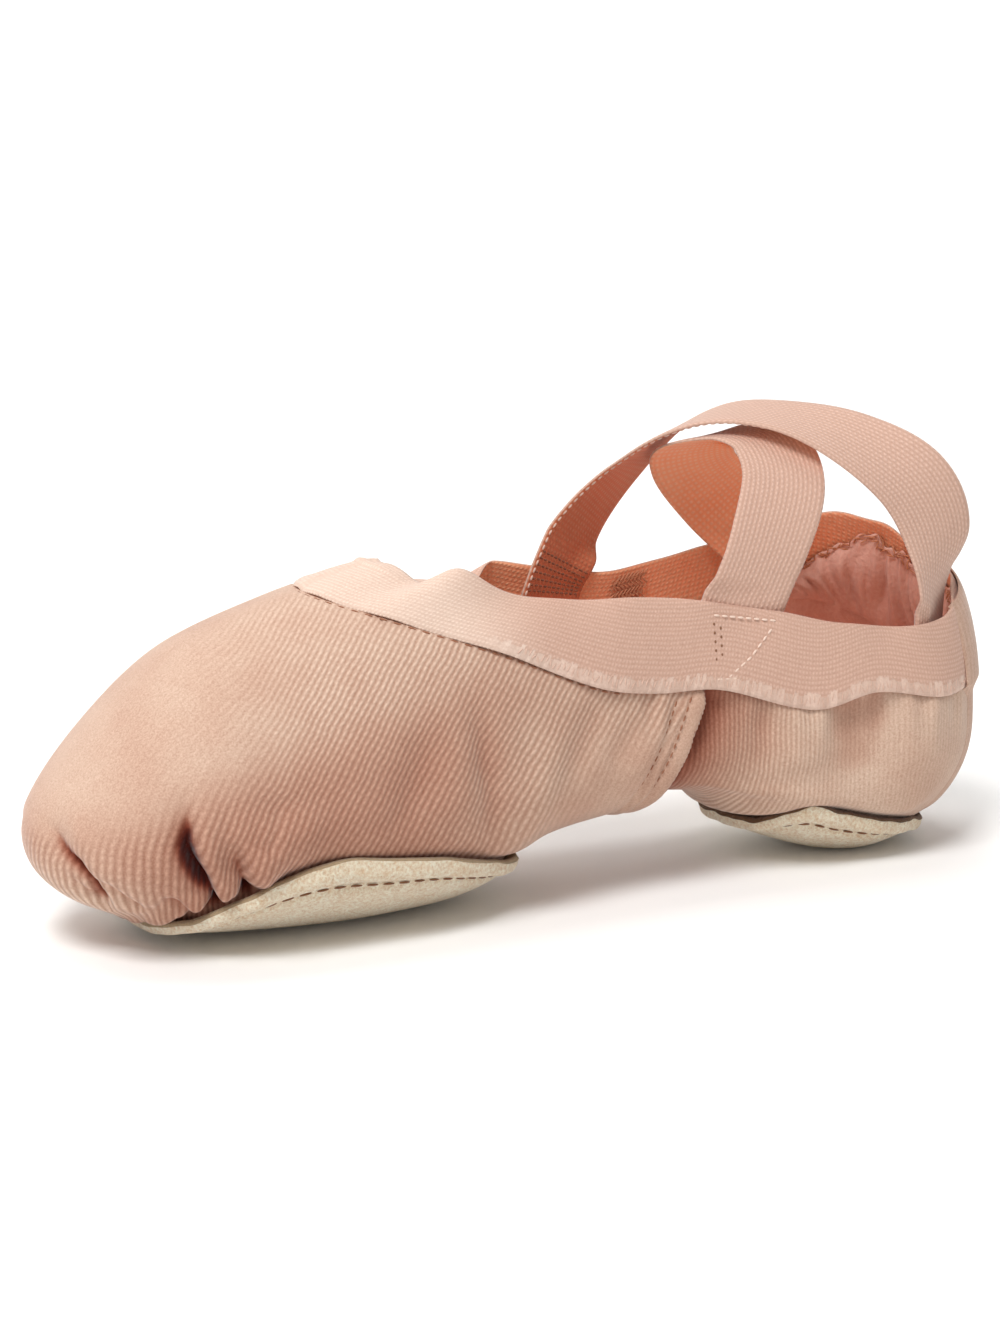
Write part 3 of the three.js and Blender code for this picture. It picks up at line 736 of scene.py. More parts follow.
def band_material(settings):
    """Knitted collar elastic: fine level ribs crossed by finer columns, matt, with a fuzzy overlocked lower
    edge."""
    material, node, shader = blank_material("knitted_collar_elastic", 0.92, 0.3, 0.35)
    along, across, overlock, place = weave_axes(node)
    grain = node("TexNoise", place, 1 / (0.5 * MM), 3.0, 0.7)
    sway = node("TexNoise", place, 1 / (6.0 * MM))
    ribs = ripple(node, node("Math", sway, 0.5, across, operation="MULTIPLY_ADD"), KNIT_RIB)
    columns = ripple(node, node("Math", sway, -0.5, along, operation="MULTIPLY_ADD"), KNIT_COLUMN)
    loops = node("Math", ribs, columns, operation="MULTIPLY")
    knit = node("Mix", 0.2, loops, ribs, data_type="FLOAT")
    bar = node("Math", node("Math", along, 0.8, operation="DIVIDE"), operation="FLOOR")
    chance = node("TexWhiteNoise", bar, noise_dimensions="1D")
    top = node("Math", chance, 1.2, 2.4, operation="MULTIPLY_ADD")
    rough = node("Math", grain, 2.4, across, operation="MULTIPLY_ADD")
    edge = node("Math", node("Math", rough, top, operation="SUBTRACT"), 1.1, operation="LESS_THAN")
    edge = node("Math", edge, overlock, operation="MULTIPLY")
    knit = node("Mix", edge, knit, chance, data_type="FLOAT")
    uneven = node("Math", grain, 0.7, 0.5, operation="MULTIPLY_ADD")
    height = node("Math", knit, uneven, operation="MULTIPLY")
    tone = node("Math", grain, 0.5, 0.21, operation="MULTIPLY_ADD")
    tone = node("Math", height, 0.35, tone, operation="MULTIPLY_ADD")
    base = node("Mix", tone, settings.elastic_dark, settings.elastic_light, data_type="RGBA")
    fuzz = node("Mix", tone, srgb("#A6816E"), srgb("#ECD0C0"), data_type="RGBA")
    # Painted light from the shade attribute: lighter towards the throat
    colour = with_tone_and_painted_light(node, node("Mix", edge, base, fuzz, data_type="RGBA"), 0.0)
    finish_cloth(node, shader, colour, height, 0.12 * MM)
    return material


def strap_material(settings):
    """Woven strap elastic: cords along it, each broken into short loops by the cross threads, pale and
    matt."""
    material, node, shader = blank_material("woven_strap_elastic", 0.92, 0.4, 0.35)
    along, across, _, place = weave_axes(node)
    grain = node("TexNoise", place, 1 / (0.5 * MM), 3.0, 0.7)
    uneven = node("Math", grain, 0.7, 0.6, operation="MULTIPLY_ADD")
    height = node("Math", lattice(node, along, across, STRAP_CORD), uneven, operation="MULTIPLY")
    tone = node("Math", grain, 0.5, 0.2, operation="MULTIPLY_ADD")
    tone = node("Math", height, 0.45, tone, operation="MULTIPLY_ADD")
    colour = node("Mix", tone, settings.elastic_dark, settings.elastic_light, data_type="RGBA")
    finish_cloth(node, shader, colour, height, 0.16 * MM)
    return material


def inside_material(settings):
    """The wrong side of the elastic: an even mesh of dots on warm coral rubber cords."""
    material, node, shader = blank_material("coral_rubber_cord_elastic", 0.9, 0.1)
    along, across, _, place = weave_axes(node)
    grain = node("TexNoise", place, 1 / (0.6 * MM), 3.0, 0.7)
    uneven = node("Math", grain, 0.7, 0.6, operation="MULTIPLY_ADD")
    lines, columns = ripple(node, along, INSIDE_DOT), ripple(node, across, INSIDE_DOT)
    dots = node("Math", lines, columns, operation="MULTIPLY")
    height = node("Math", dots, uneven, operation="MULTIPLY")
    tone = node("Math", node("TexNoise", place, 1 / (12.0 * MM)), 0.5, 0.3, operation="MULTIPLY_ADD")
    tone = node("Math", height, 0.6, tone, operation="MULTIPLY_ADD")
    colour = node("Mix", tone, settings.inside_dark, settings.inside_light, data_type="RGBA")
    # Painted light and shade from the shade attribute: lighter on the band's wrong side towards the throat,
    # darker on the over strap's far part
    finish_cloth(node, shader, with_tone_and_painted_light(node, colour, 0.0), height, 0.16 * MM)
    return material


def lining_material(settings):
    """Brushed cotton lining: a soft loose nap in dusty rose, rumpled by the folds of the canvas."""
    material, node, shader = blank_material("brushed_cotton_lining", 0.95, 0.2)
    place = node("TexCoord").node.outputs["Object"]
    nap = node("TexNoise", place, 1 / (1.1 * MM), 3.0, 0.6)
    rumple = node("TexNoise", place, 1 / (10.0 * MM), 3.0)
    fuzz = node("Math", nap, 0.55, operation="MULTIPLY")
    height = node("Math", rumple, 0.45, fuzz, operation="MULTIPLY_ADD")
    colour = node("Mix", height, settings.lining_dark, settings.lining_light, data_type="RGBA")
    finish_cloth(node, shader, colour, height, 0.6 * MM)
    return material


def suede_material(settings):
    """Brushed split leather: a short nap that lies in patches, sandy, with no gloss at all."""
    material, node, shader = blank_material("brushed_split_suede", 0.97, 0.4, 0.6)
    place = node("TexCoord").node.outputs["Object"]
    nap = node("TexNoise", place, 1 / (0.8 * MM), 4.0, 0.75)
    patch = node("TexNoise", place, 1 / (6.0 * MM), 3.0)
    tone = node("Math", nap, 3.2, -1.3, operation="MULTIPLY_ADD")
    tone = node("Math", patch, 0.5, tone, operation="MULTIPLY_ADD")
    colour = node("Mix", tone, settings.suede_dark, settings.suede_light, data_type="RGBA")
    finish_cloth(node, shader, colour, nap, 0.9 * MM)
    return material


def fibre_material(name, roughness, size, depth, low, high):
    """Loose fibres of a size, in two tones, with a bump of their depth."""
    material, node, shader = blank_material(name, roughness, 0.2)
    place = node("TexCoord").node.outputs["Object"]
    fibre = node("TexNoise", place, 1 / (size * MM), 4.0, 0.7)
    colour = node("Mix", fibre, srgb(low), srgb(high), data_type="RGBA")
    finish_cloth(node, shader, colour, fibre, depth * MM)
    return material


CLOTHS = {
    "canvas": canvas_material,
    "band": band_material,
    "strap": strap_material,
    "inside": inside_material,
    "lining": lining_material,
    "suede": suede_material,
}
# Name of the material, roughness, size and depth of the fibres in mm, and the two tones
FIBRES = {
    # Cut edges of the suede, with fibres standing out of them: dyed and dark at the heel, raw at the forefoot
    "suede_edge": ("dyed_cut_suede_edge", 0.97, 0.8, 0.6, "#4E3420", "#86664A"),
    "pale_suede_edge": ("raw_cut_suede_edge", 0.97, 0.8, 0.6, "#8E7658", "#C9B18F"),
    # Spun polyester threads, with a slight lustre and a fine twist
    "pale_thread": ("pale_sewing_thread", 0.7, 0.5, 0.1, "#DDBCA8", "#F6E2D4"),
    "overlock_thread": ("overlock_thread", 0.8, 0.5, 0.1, "#BE9784", "#E0C2B1"),
    "lining_thread": ("lining_overlock_thread", 0.8, 0.5, 0.1, "#B4704F", "#E6AC89"),
    "rust_thread": ("rust_sewing_thread", 0.7, 0.5, 0.1, "#84523C", "#A87355"),
    "dark_thread": ("brown_sewing_thread", 0.7, 0.5, 0.1, "#6B442F", "#94694C"),
}
MATERIALS = {}


def finishes(settings, *names):
    """The named finishes, each made the first time that it is asked for."""
    for name in names:
        if name not in MATERIALS:
            MATERIALS[name] = fibre_material(*FIBRES[name]) if name in FIBRES else CLOTHS[name](settings)
    return [MATERIALS[name] for name in names]


def place_piece(piece, slot, *nodes):
    """A finished piece rides on the body and stands for its solids. slot is not used."""
    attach(piece, "root")
    if nodes:
        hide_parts(*nodes)


# Pieces


def make_canvas(settings):
    """The canvas upper: the last's own surface with its relief, from the left collar edge under the sole to
    the right one, and a coarser lining one canvas thickness inside it, which keeps below the deepest relief
    near it. In front of the throat both edges meet on top, so the rows close."""
    rows, columns, lining_columns = 340, 220, 56
    near, slack = range(-4, 5), 0.8
    share = np.interp(np.linspace(0, 1, rows), *ROW_SPACING)[:, None]
    x = x_at(share)
    edges = [turn_at(x, collar_height(side, "lower", x) + BAND_OVERLAP, side) for side in (LEFT, RIGHT)]
    open_rows = ((edges[0] > np.pi / 2 + 1e-6) | (edges[1] < np.pi / 2 - 1e-6)).ravel()
    across = np.interp(np.linspace(0, 1, columns), *COLUMN_SPACING)[None, :]
    turn = edges[0] + (edges[1] + 2 * np.pi - edges[0]) * across
    points, normals = last_point(share, turn), last_normal(share, turn)
    ends = smooth_step(0, 0.02, share) * smooth_step(1, 0.98, share)
    offset, relief = canvas_shape(points, normals)
    outer = points + offset * ends[..., None]
    outer[0], outer[-1] = outer[0].mean(0), outer[-1].mean(0)
    every = np.unique(np.linspace(0, columns - 1, lining_columns).round().astype(int))
    lowest = np.min([np.roll(relief, step, axis=1) for step in near], axis=0)
    thick = CANVAS + np.maximum(relief - lowest - slack, 0)
    inner = (outer - normals * thick[..., None])[:, every]
    inner[0], inner[-1] = inner[0].mean(0), inner[-1].mean(0)
    weave, shade = canvas_weave(points, normals), canvas_shade(points, normals, relief)
    weave = np.concatenate([weave.reshape(-1, 3), weave[:, every].reshape(-1, 3)])
    shade = np.concatenate([shade.ravel(), shade[:, every].ravel()])
    shell = two_faced(outer, inner, ends=False, open_rows=open_rows)
    piece = put_mesh("canvas_upper", *shell, finishes(settings, "canvas", "lining", "canvas"), weave, shade)
    place_piece(piece, "canvas", "upper")


def canvas_weave(points, normals):
    """Weave coordinates of the canvas: across the ribs in mm, along them in mm, and how clearly they show.
    In front of the waist seam the ribs lean over both sides of the forefoot and go upright round the toe;
    behind it they go upright round the heel. They fade on the arch, at the seam, and where the canvas is
    worn."""
    x, z, level = points[..., 0], points[..., 2], normals[..., 2]
    toe_middle, heel_middle, ridge_radius = -62, 84, 4.0
    y = np.hypot(points[..., 1] - RIB_RIDGE, ridge_radius)
    lean = -0.085 - 0.355 * smooth_step(-104, -72, x)
    straight = 0.751 * x + 0.492 * y
    round_toe = 36.5 * np.arctan2(y, toe_middle - x) - 83.1
    fore = straight + (round_toe - straight) * smooth_step(-78, -96, x) + lean * (z - 25)
    round_heel = np.arctan2(np.maximum(x - heel_middle, 0), np.hypot(points[..., 1], ridge_radius))
    heel = 1.1 * (np.minimum(x, heel_middle) + 26 * round_heel)
    behind = seam_offset(points)
    arch = smooth_step(-16, 14, x + 0.9 * (30 - z)) * smooth_step(48, 36, z + 0.25 * (x - 10)) * (behind < 0)
    fades = dict(
        arch=0.8 * arch,
        seam=smooth_step(6, 0.5, np.abs(behind)),
        heel=(behind > 0) * (0.2 + 0.55 * smooth_step(42, 80, x)),
        toe=0.5 * smooth_step(-94, -112, x) * smooth_step(16, 34, z),
        top=0.4 * smooth_step(0.5, 0.95, level),
        ridge=smooth_step(20, 8, y) * smooth_step(0.3, 0.6, level),
        crown=0.9 * smooth_step(-58, -88, x) * smooth_step(0.1, 0.5, level),
        tip=0.95 * smooth_step(15, 6, y) * smooth_step(-94, -104, x),
    )
    strength = np.prod([1 - fade for fade in fades.values()], axis=0)
    return np.stack([np.where(behind < 0, fore, heel), z - 0.5 * y, strength], -1)


def collar_span(side, edge):
    """The places along x where an edge of the band meets the top of the last, at the throat and the back."""
    x = np.linspace(TOE_X + 20, HEEL_X - 0.02, 6000)
    under = np.nonzero(collar_height(side, edge, x) < section(x)[2])[0]
    return x[under[0]], x[under[-1]]


def collar_line(side, edge, along):
    """Share and turn of a band's edge, with along running from the throat (0) to the back (1) in cosine
    spacing."""
    first, last = collar_span(side, edge)
    x = (first + last) / 2 - (last - first) / 2 * np.cos(np.pi * along)
    return share_at(x), turn_at(x, collar_height(side, edge, x), side)


def band_place(side, along, up):
    """Share and turn of a place on the band: the way up from its lower edge (0) to its upper edge (1) on one
    side."""
    low_share, low_turn = collar_line(side, "lower", along)
    high_share, high_turn = collar_line(side, "upper", along)
    return low_share + (high_share - low_share) * up, low_turn + (high_turn - low_turn) * up


def band_ruffle(side, along, up):
    """How far the gathered band stands off the last: folds at the throat, which stand up on the left and
    lie down on the right, waves that grow to its upper edge, and small waves along its lower edge."""
    if side == LEFT:
        folds = 5.0 * bell(along, 0.185, 0.042) - 2.6 * bell(along, 0.125, 0.03) - bell(along, 0.3, 0.04)
    else:
        folds = -7.0 * smooth_step(0.04, 0.15, along) * smooth_step(0.35, 0.3, along)
    throat = folds + 0.3 * bell(along, 0, 0.05)
    tuck = 0.9 * bell(along, 0, 0.1) * bell(up, 0.82, 0.05)
    waves = 0.45 * np.sin(along * 34 + side) * smooth_step(0.2, 0.35, along)
    ripples = waves + 0.25 * np.sin(along * 71 + 2 * side)
    lower = 0.35 * np.sin(along * 52 + 1.3 * side) * (1 - up) ** 2
    return throat * up**1.5 + ripples * up**2 + lower + tuck


def make_band(settings):
    """The elastic collar: a ring of lines from its lower to its upper edge, laid over the canvas and
    gathered at the throat."""
    steps, columns = 300, 26
    along = np.linspace(0, 1, steps)[:, None]
    up = np.linspace(0, 1, columns)[None, :]
    layers = []
    for grow in (GAP + ELASTIC, GAP):
        halves = []
        for side in (LEFT, RIGHT):
            share, turn = band_place(side, along, up)
            rounded = 0.3 * (np.abs(2 * up - 1) ** 8) * (1 if grow > GAP else -1)
            sewn_in = 0.75 * (1 - up) ** 4 * smooth_step(-10, -28, last_point(share, turn)[..., 0])
            halves.append(grown(share, turn, grow - rounded - sewn_in + band_ruffle(side, along, up)))
        layers.append(np.concatenate([halves[0], halves[1][-2:0:-1]]))
    outer, inner = layers
    distance = lengths_along(outer[:, columns // 2])[:, None]
    distance = np.minimum(distance, distance[-1] - distance)
    height = np.linalg.norm(outer[:, -1] - outer[:, 0], axis=-1)[:, None] * up
    overlock = smooth_step(-24, -10, outer[..., 0])
    weave = np.stack(np.broadcast_arrays(distance, height, overlock), -1).reshape(-1, 3)
    cloth = finishes(settings, "band", "inside", "band")
    # Painted light: both faces of the band lighter towards the throat
    shade = -0.13 * smooth_step(0, -30, outer[..., 0]).ravel()
    layer = two_faced(outer, inner, wrap=True)
    piece = put_mesh("collar_elastic", *layer, cloth, np.tile(weave, (2, 1)), np.tile(shade, 2))
    place_piece(piece, "elastic", "collar_band")


def lining_reach(along):
    """How far up the band the heel's lining goes: low at the sides and nearly to the rim at the back."""
    reach = curve((0.64, 0.7, 0.775, 0.835, 1.0), (0.05, 0.2, 0.5, 0.78, 0.84), along)
    return reach * (1 + 0.05 * np.sin(along * 83) + 0.03 * np.sin(along * 190 + 1))


def make_heel_lining(settings):
    """The canvas lining turned up inside the heel: a sheet along the band's inside, from its lower edge to
    the lining's reach, with upright folds that bulge inwards between its edges."""
    along = np.linspace(0.64, 1, 130)[:, None]
    up = np.linspace(0, 1, 30)[None, :]
    layers = []
    for thick in (0.0, 0.5):
        halves = []
        for side in (LEFT, RIGHT):
            share, turn = band_place(side, along, up * lining_reach(along))
            sway = along * 150 + 2.2 * np.sin(up * 3.4 + along * 31) + side
            folds = 1.9 * np.abs(np.sin(sway / 2)) ** 1.4 + 1.2 * np.abs(np.sin(sway * 0.81 + 1 + 3 * up))
            bulge = folds * np.sin(np.pi * np.clip(up * 1.06, 0, 1)) ** 0.6
            halves.append(grown(share, turn, 1.2 * smooth_step(0.6, 1, up) - 1.5 - bulge - thick))
        layers.append(np.concatenate([halves[0], halves[1][-2::-1]]))
    piece = put_mesh("heel_lining", *two_faced(*layers), finishes(settings, "lining", "lining", "lining"))
    place_piece(piece, "lining")


def strap_grid(rows, steps, columns, face):
    """A face of a strap (0 inside, 1 outside): a line across it at each step of its middle curve, square to
    the curve and turned away from the ankle. Where it is inside the collar it is held against the band."""
    index = np.arange(len(rows))

    def at(t):
        """Points of the middle curve, with t counting its rows."""
        return np.stack([curve(index, rows[:, k], t) for k in range(3)], -1)

    t = np.linspace(0, index[-1], steps)
    middle = at(t)
    ahead = unit(at(np.minimum(t + 0.02, index[-1])) - at(np.maximum(t - 0.02, 0)))
    away = np.stack([np.zeros(steps), middle[:, 1], np.maximum(middle[:, 2] - ANKLE_HEIGHT, 0)], -1)
    away[:, 0] = curve(index, rows[:, 3], t) * np.linalg.norm(away, axis=-1)
    across = unit(np.cross(ahead, away))
    out = np.cross(across, ahead)
    place = np.linspace(-0.5, 0.5, columns)
    crown = (1 - (2 * np.abs(place)) ** 12) * 0.25 + 0.25
    points = middle[:, None] + across[:, None] * (STRAP_WIDTH * place)[None, :, None]
    points = points + out[:, None] * (ELASTIC * (2 * face - 1) * crown)[None, :, None]
    x, y, z = points[..., 0], points[..., 1], points[..., 2]
    rim = collar_at(y, "upper", x)
    free = smooth_step(0, TAIL_REACH, z - rim - RIM_CLEARANCE)
    limit = np.maximum(half_width_at(x, np.minimum(z, rim)) - GAP - (1 - face) * ELASTIC, 0)
    held = np.sign(y) * np.minimum(np.abs(y), limit)
    points[..., 1] = held + (y - held) * free
    return points, out


def make_strap(name, rows, node, shade, settings):
    """An elastic strap with its two faces and rounded edges. shade is how much painted shade darkens its
    wrong side past its top."""
    steps, columns = 190, 25
    outer, inner = strap_grid(rows, steps, columns, 1)[0], strap_grid(rows, steps, columns, 0)[0]
    distance = lengths_along(outer[:, columns // 2])[:, None]
    across = np.linspace(0, STRAP_WIDTH, columns)[None, :]
    weave = np.stack(np.broadcast_arrays(distance, across, 0.0), -1).reshape(-1, 3)
    cloth = finishes(settings, "strap", "inside", "strap")
    # Painted shade past the strap's top, which only the wrong side's material reads
    deep = np.repeat(shade * smooth_step(0.45, 0.6, np.linspace(0, 1, steps)), columns)
    piece = put_mesh(name, *two_faced(outer, inner), cloth, np.tile(weave, (2, 1)), np.tile(deep, 2))
    place_piece(piece, "elastic", node)


def pad_plan(pad, angle, radius, margin=0.0):
    """A place in plan inside a pad's outline, drawn in by a margin: a tapered oval at an angle, scaled by
    radius."""
    c, s = np.cos(angle), np.sin(angle)
    along = np.sign(c) * np.abs(c) ** (2 / pad["power"])
    across = np.sign(s) * np.abs(s) ** (2 / pad["power"])
    middle, reach = pad_span(pad)
    x = middle + radius * (reach - margin) * along
    y = radius * (pad["half"] - margin) * across * (1 - pad["taper"] * along)
    place, spread, share = pad.get("ear", (0.0, 1.0, 0.0))
    return x, y * (1 + share * (y < 0) * bell(x, place, spread))


def pad_layer(pad, angle, radius, grow, margin=0.0):
    """Points of a layer of a pad, under the last and grown from it, and flat on the floor."""
    x, y = pad_plan(pad, angle, radius, margin)
    points = grown(share_at(x), turn_below(x, y), np.broadcast_to(grow, x.shape))
    points[..., 2] = np.maximum(points[..., 2], 0)
    return points


def without_pole_rim(outer, points, faces, tags):
    """The faces of a layer of rings, less the cut edge that two_faced puts on the first ring, which is a
    single point."""
    poles = np.arange(2 * outer[..., 0].size).reshape(2, *outer.shape[:2])[:, :, 0]
    real = ~((tags == 2) & np.isin(faces, poles).all(1))
    return points, faces[real], tags[real]


def make_pad(name, pad, node, edge, settings):
    """A suede pad: rings out from its middle, then lines drawn in from its edge by less and less, with a
    rolled margin outside a sewn groove, and a worn flat on the floor."""
    rings, lines, border = 17, 30, 9.0
    angle = np.linspace(0, 2 * np.pi, 261)[:-1, None]
    radius = np.concatenate([np.linspace(0, 1, rings + 1)[:-1], np.ones(lines)])[None, :]
    inset = np.concatenate([np.full(rings, border), np.linspace(border, 0, lines)])[None, :]
    groove = -bell(inset, PAD_STITCH_MARGIN, 0.8)
    roll = 0.9 * bell(inset, 1.6, 1.1) - 0.6 * bell(inset, 0, 0.6)
    wave = 0.5 * np.sin(9 * angle) + 0.35 * np.sin(17 * angle + 1) + 0.2 * np.sin(31 * angle)
    wave = wave * np.exp(-inset / 3)
    outer = pad_layer(pad, angle, radius, GAP + SUEDE + groove + roll + wave * 0.5, inset)
    inner = pad_layer(pad, angle, radius, GAP + wave * 0.3, inset)
    outer[:, 0], inner[:, 0] = outer[:, 0].mean(0), inner[:, 0].mean(0)
    layer = without_pole_rim(outer, *two_faced(outer, inner, wrap=True))
    piece = put_mesh(name, *layer, finishes(settings, "suede", edge, edge))
    place_piece(piece, "suede", node)


def make_insole(name, pad, node, settings):
    """A thin lining sole inside the canvas, over the hole above a pad."""
    angle = np.linspace(0, 2 * np.pi, 161)[:-1, None]
    radius = np.linspace(0, 1, 24)[None, :]
    x, y = pad_plan(pad, angle, radius, pad["seam"] - INSOLE_MARGIN)
    share, turn = share_at(x), turn_below(x, y)
    layers = [grown(share, turn, np.full(x.shape, -CANVAS - GAP - deep)) for deep in (INSOLE, 0.0)]
    for layer in layers:
        layer[:, 0] = layer[:, 0].mean(0)
    layer = without_pole_rim(layers[0], *two_faced(*layers, wrap=True))
    piece = put_mesh(name, *layer, finishes(settings, "lining", "lining", "lining"))
    place_piece(piece, "lining", node)


def strip_place(across, up):
    """x, y and z of the back strip on the last: at each y and height, the x that closes the section to y,
    found by halving."""
    y = BACK_STRIP["half"] * across
    rim = collar_at(y, "upper", BACK_STRIP["rim_from"] - np.abs(y) * 0.5)
    z = BACK_STRIP["bottom"] + (rim + BACK_STRIP["above"] - BACK_STRIP["bottom"]) * up
    y = np.broadcast_to(y, z.shape)
    front = 80.0
    low, high = np.full(z.shape, front), np.full(z.shape, HEEL_X)
    for _ in range(40):
        middle = (low + high) / 2
        wide = half_width_at(middle, z) > np.abs(y)
        low, high = np.where(wide, middle, low), np.where(wide, high, middle)
    return (low + high) / 2, y, z


def make_back_strip(settings):
    """The canvas strip up the back of the heel, laid over the collar's ends."""
    across, up = np.linspace(-1, 1, 60)[:, None], np.linspace(0, 1, 90)[None, :]
    x, y, z = strip_place(across, up)
    turn = np.where(y < 0, turn_at(x, z, LEFT), turn_at(x, z, RIGHT))
    share = share_at(x)
    rim = collar_at(y, "lower", x)
    skirt = 0.35 + 1.1 * smooth_step(0.4, -0.8, z - rim)
    under = 0.1 + (STRIP_INNER - 0.1) * smooth_step(-4, 1, z - rim) - skirt * np.abs(across) ** 6
    rounded = np.minimum(0.65 * np.abs(across) ** 7 + 0.65 * np.abs(2 * up - 1) ** 24, 0.7)
    outer, inner = (grown(share, turn, under + thick) for thick in (STRIP - rounded, 0))
    weave = np.stack([y, z, 0.25 + 0 * y], -1).reshape(-1, 3)
    cloth = finishes(settings, "canvas", "lining", "canvas")
    weave, shade = np.tile(weave, (2, 1)), np.zeros(2 * y.size)
    piece = put_mesh("canvas_back_strip", *two_faced(outer, inner), cloth, weave, shade)
    place_piece(piece, "canvas", "back_strip")


def side_out(count, side):
    """The outward direction of a side, for a number of stitches."""
    return np.tile([0.0, side, 0.2], (count, 1))


def sew(name, rows, settings):
    """A piece of stitches, as the table gives them, from rows of (centres, directions, outward
    directions)."""
    size, thread, slot = STITCHES[name]
    centres, ways, outs = (np.concatenate([row[k] for row in rows]) for k in range(3))
    place_piece(beans(name, centres, ways, outs, size, *finishes(settings, thread)), slot)


def sewn_line(side, places, grow, pitch):
    """A row of stitches on a side of the last, through places (x, z)."""
    ends = np.array(places, float)
    fine = np.concatenate([np.linspace(a, b, 24) for a, b in zip(ends[:-1], ends[1:])])
    spots, ways, _ = spaced(on_side(side, fine, grow), pitch)
    return spots, ways, side_out(len(spots), side)


def make_collar_stitches(settings):
    """Sewing on the collar: upright overlock bars along its lower edge, the seam at the throat, and the
    straps' ends."""
    bars, seam, count = [], [], 150
    for side, throat in ((LEFT, -55), (RIGHT, -34)):
        step = np.arange(34, count)
        jitter = np.sin(step * 12.9898 + side) * 0.5
        along = np.arccos(np.clip(1 - 2 * (step + 0.5 + 0.4 * jitter) / count, -1, 1)) / np.pi
        ends = []
        for up in (0.03 + 0.03 * jitter, 0.16 + 0.05 * np.cos(step * 7.7)):
            share, turn = band_place(side, along, up)
            ends.append(grown(share, turn, GAP + ELASTIC - 0.02 + band_ruffle(side, along, up)))
        slant = np.stack([np.sin(step * 4.1) * 0.9, 0 * step, 0 * step], -1)
        bars.append(((ends[0] + ends[1]) / 2, ends[1] - ends[0] + slant, last_normal(share, turn)))
        x = np.linspace(throat, 12, 40)
        seam.append(sewn_line(side, np.stack([x, collar_height(side, "lower", x) - 0.4], -1), 0.0, 3.3))
    sew("collar_overlock", bars, settings)
    sew("throat_seam_stitches", seam, settings)
    face = GAP + ELASTIC
    boxes = [sewn_line(side, places, face + 0.05, pitch) for side, places, pitch in STRAP_END_ROWS]
    sew("strap_end_stitches", boxes, settings)
    # Needle holes as dark beads of thread: painted shade
    holes = [sewn_line(LEFT, places, face, 2.0) for places in NEEDLE_HOLE_ROWS]
    sew("strap_end_needle_holes", holes, settings)


def make_inside_stitches(settings):
    """Sewing inside: a rough overlocked row over the canvas's top edge and the heel's lining, the allowance
    of the waist seam, the tacks at a strap's end and the row along its edge."""
    rows = []
    for side in (LEFT, RIGHT):
        x = np.linspace(20, 70, 60)
        along = np.linspace(0.66, 1, 60)
        share, turn = band_place(side, along, lining_reach(along) - 0.02)
        over_canvas = np.stack([x, collar_height(side, "lower", x) + BAND_OVERLAP - 1.2], -1)
        allowance = np.stack([np.full(20, 40.0), np.linspace(54, 64, 20)], -1)
        paths = [on_side(side, over_canvas, -CANVAS - 0.5), grown(share, turn, np.full(60, -1.1))]
        for shift in np.arange(-3.5, 4):
            paths.append(on_side(side, allowance + np.array([shift, 0.2 * shift]), -0.4))
        for path in paths:
            spots, ways, places = spaced(path, 0.7)
            level = unit(np.cross(ways, side_out(len(spots), side)))
            spots = spots + level * np.cos(places * 23.1)[:, None] * 0.8
            ways = ways * 0.9 + level * np.sin(places * 37.7)[:, None]
            rows.append((spots, ways, side_out(len(spots), -side)))
    sew("inside_overlock", rows, settings)
    steps, columns = np.arange(400), 25
    tack_height, tack_reach = 66, 4
    grid, out = strap_grid(STRAP_OVER, len(steps), columns, 0)
    near_end = (steps > 300) & (np.abs(grid[:, columns // 2, 2] - tack_height) < tack_reach)
    tacked, facing = grid[near_end][::4], np.repeat(-out[near_end][::4], 11, axis=0)
    ways = (tacked[:, 3:24:2] - tacked[:, 1:22:2]).reshape(-1, 3)
    sew("strap_end_tacks", [(tacked[:, 2:23:2].reshape(-1, 3), ways, facing)], settings)
    far = steps > 190
    edge, outward = grid[far][::-1, 1], -out[far][::-1]
    spots, ways, _ = spaced(edge[::-1], 1.9)
    facing = np.stack([np.interp(spots[:, 2], edge[:, 2], outward[:, k]) for k in range(3)], -1)
    sew("strap_edge_stitches", [(spots, ways, facing)], settings)


def make_sole_stitches(settings):
    """The waist seam's two rows, and the row round each pad in its groove."""
    height = np.linspace(19, 46, 14)
    seams = [
        sewn_line(side, np.stack([seam_at(height) + offset, height], -1), grow, 2.2)
        for side in (LEFT, RIGHT)
        for offset, _, _, grow in WAIST_ROWS
    ]
    sew("waist_seam_stitches", seams, settings)
    angle = np.linspace(0, 2 * np.pi, 500)
    for name, pad in (("forefoot_pad_stitches", FOREFOOT_PAD), ("heel_pad_stitches", HEEL_PAD)):
        path = pad_layer(pad, angle, np.ones(angle.shape), GAP + SUEDE - 0.5, PAD_STITCH_MARGIN)
        spots, ways, _ = spaced(path, 4.0)
        spots[:, 2] = np.maximum(spots[:, 2], 0.4)
        sew(name, [(spots, ways, spots - np.array([pad_span(pad)[0], 0, 40]))], settings)


def make_camera(stage):
    """The camera looks at the middle of the slipper from the photograph's side, with a small shift for its
    framing."""
    azimuth, elevation = stage.azimuth, stage.elevation
    level = math.cos(elevation)
    back = Vector((math.sin(azimuth) * level, -math.cos(azimuth) * level, math.sin(elevation)))
    data = bpy.data.cameras.new("camera")
    data.sensor_width, data.lens = 36.0, stage.focal_length
    data.shift_x, data.shift_y = stage.shift_x, stage.shift_y
    camera = bpy.data.objects.new("camera", data)
    camera.location = Vector((0, 0, stage.aim_height)) + back * stage.distance
    camera.rotation_euler = (-back).to_track_quat("-Z", "Y").to_euler()
    bpy.context.collection.objects.link(camera)
    bpy.context.scene.camera = camera


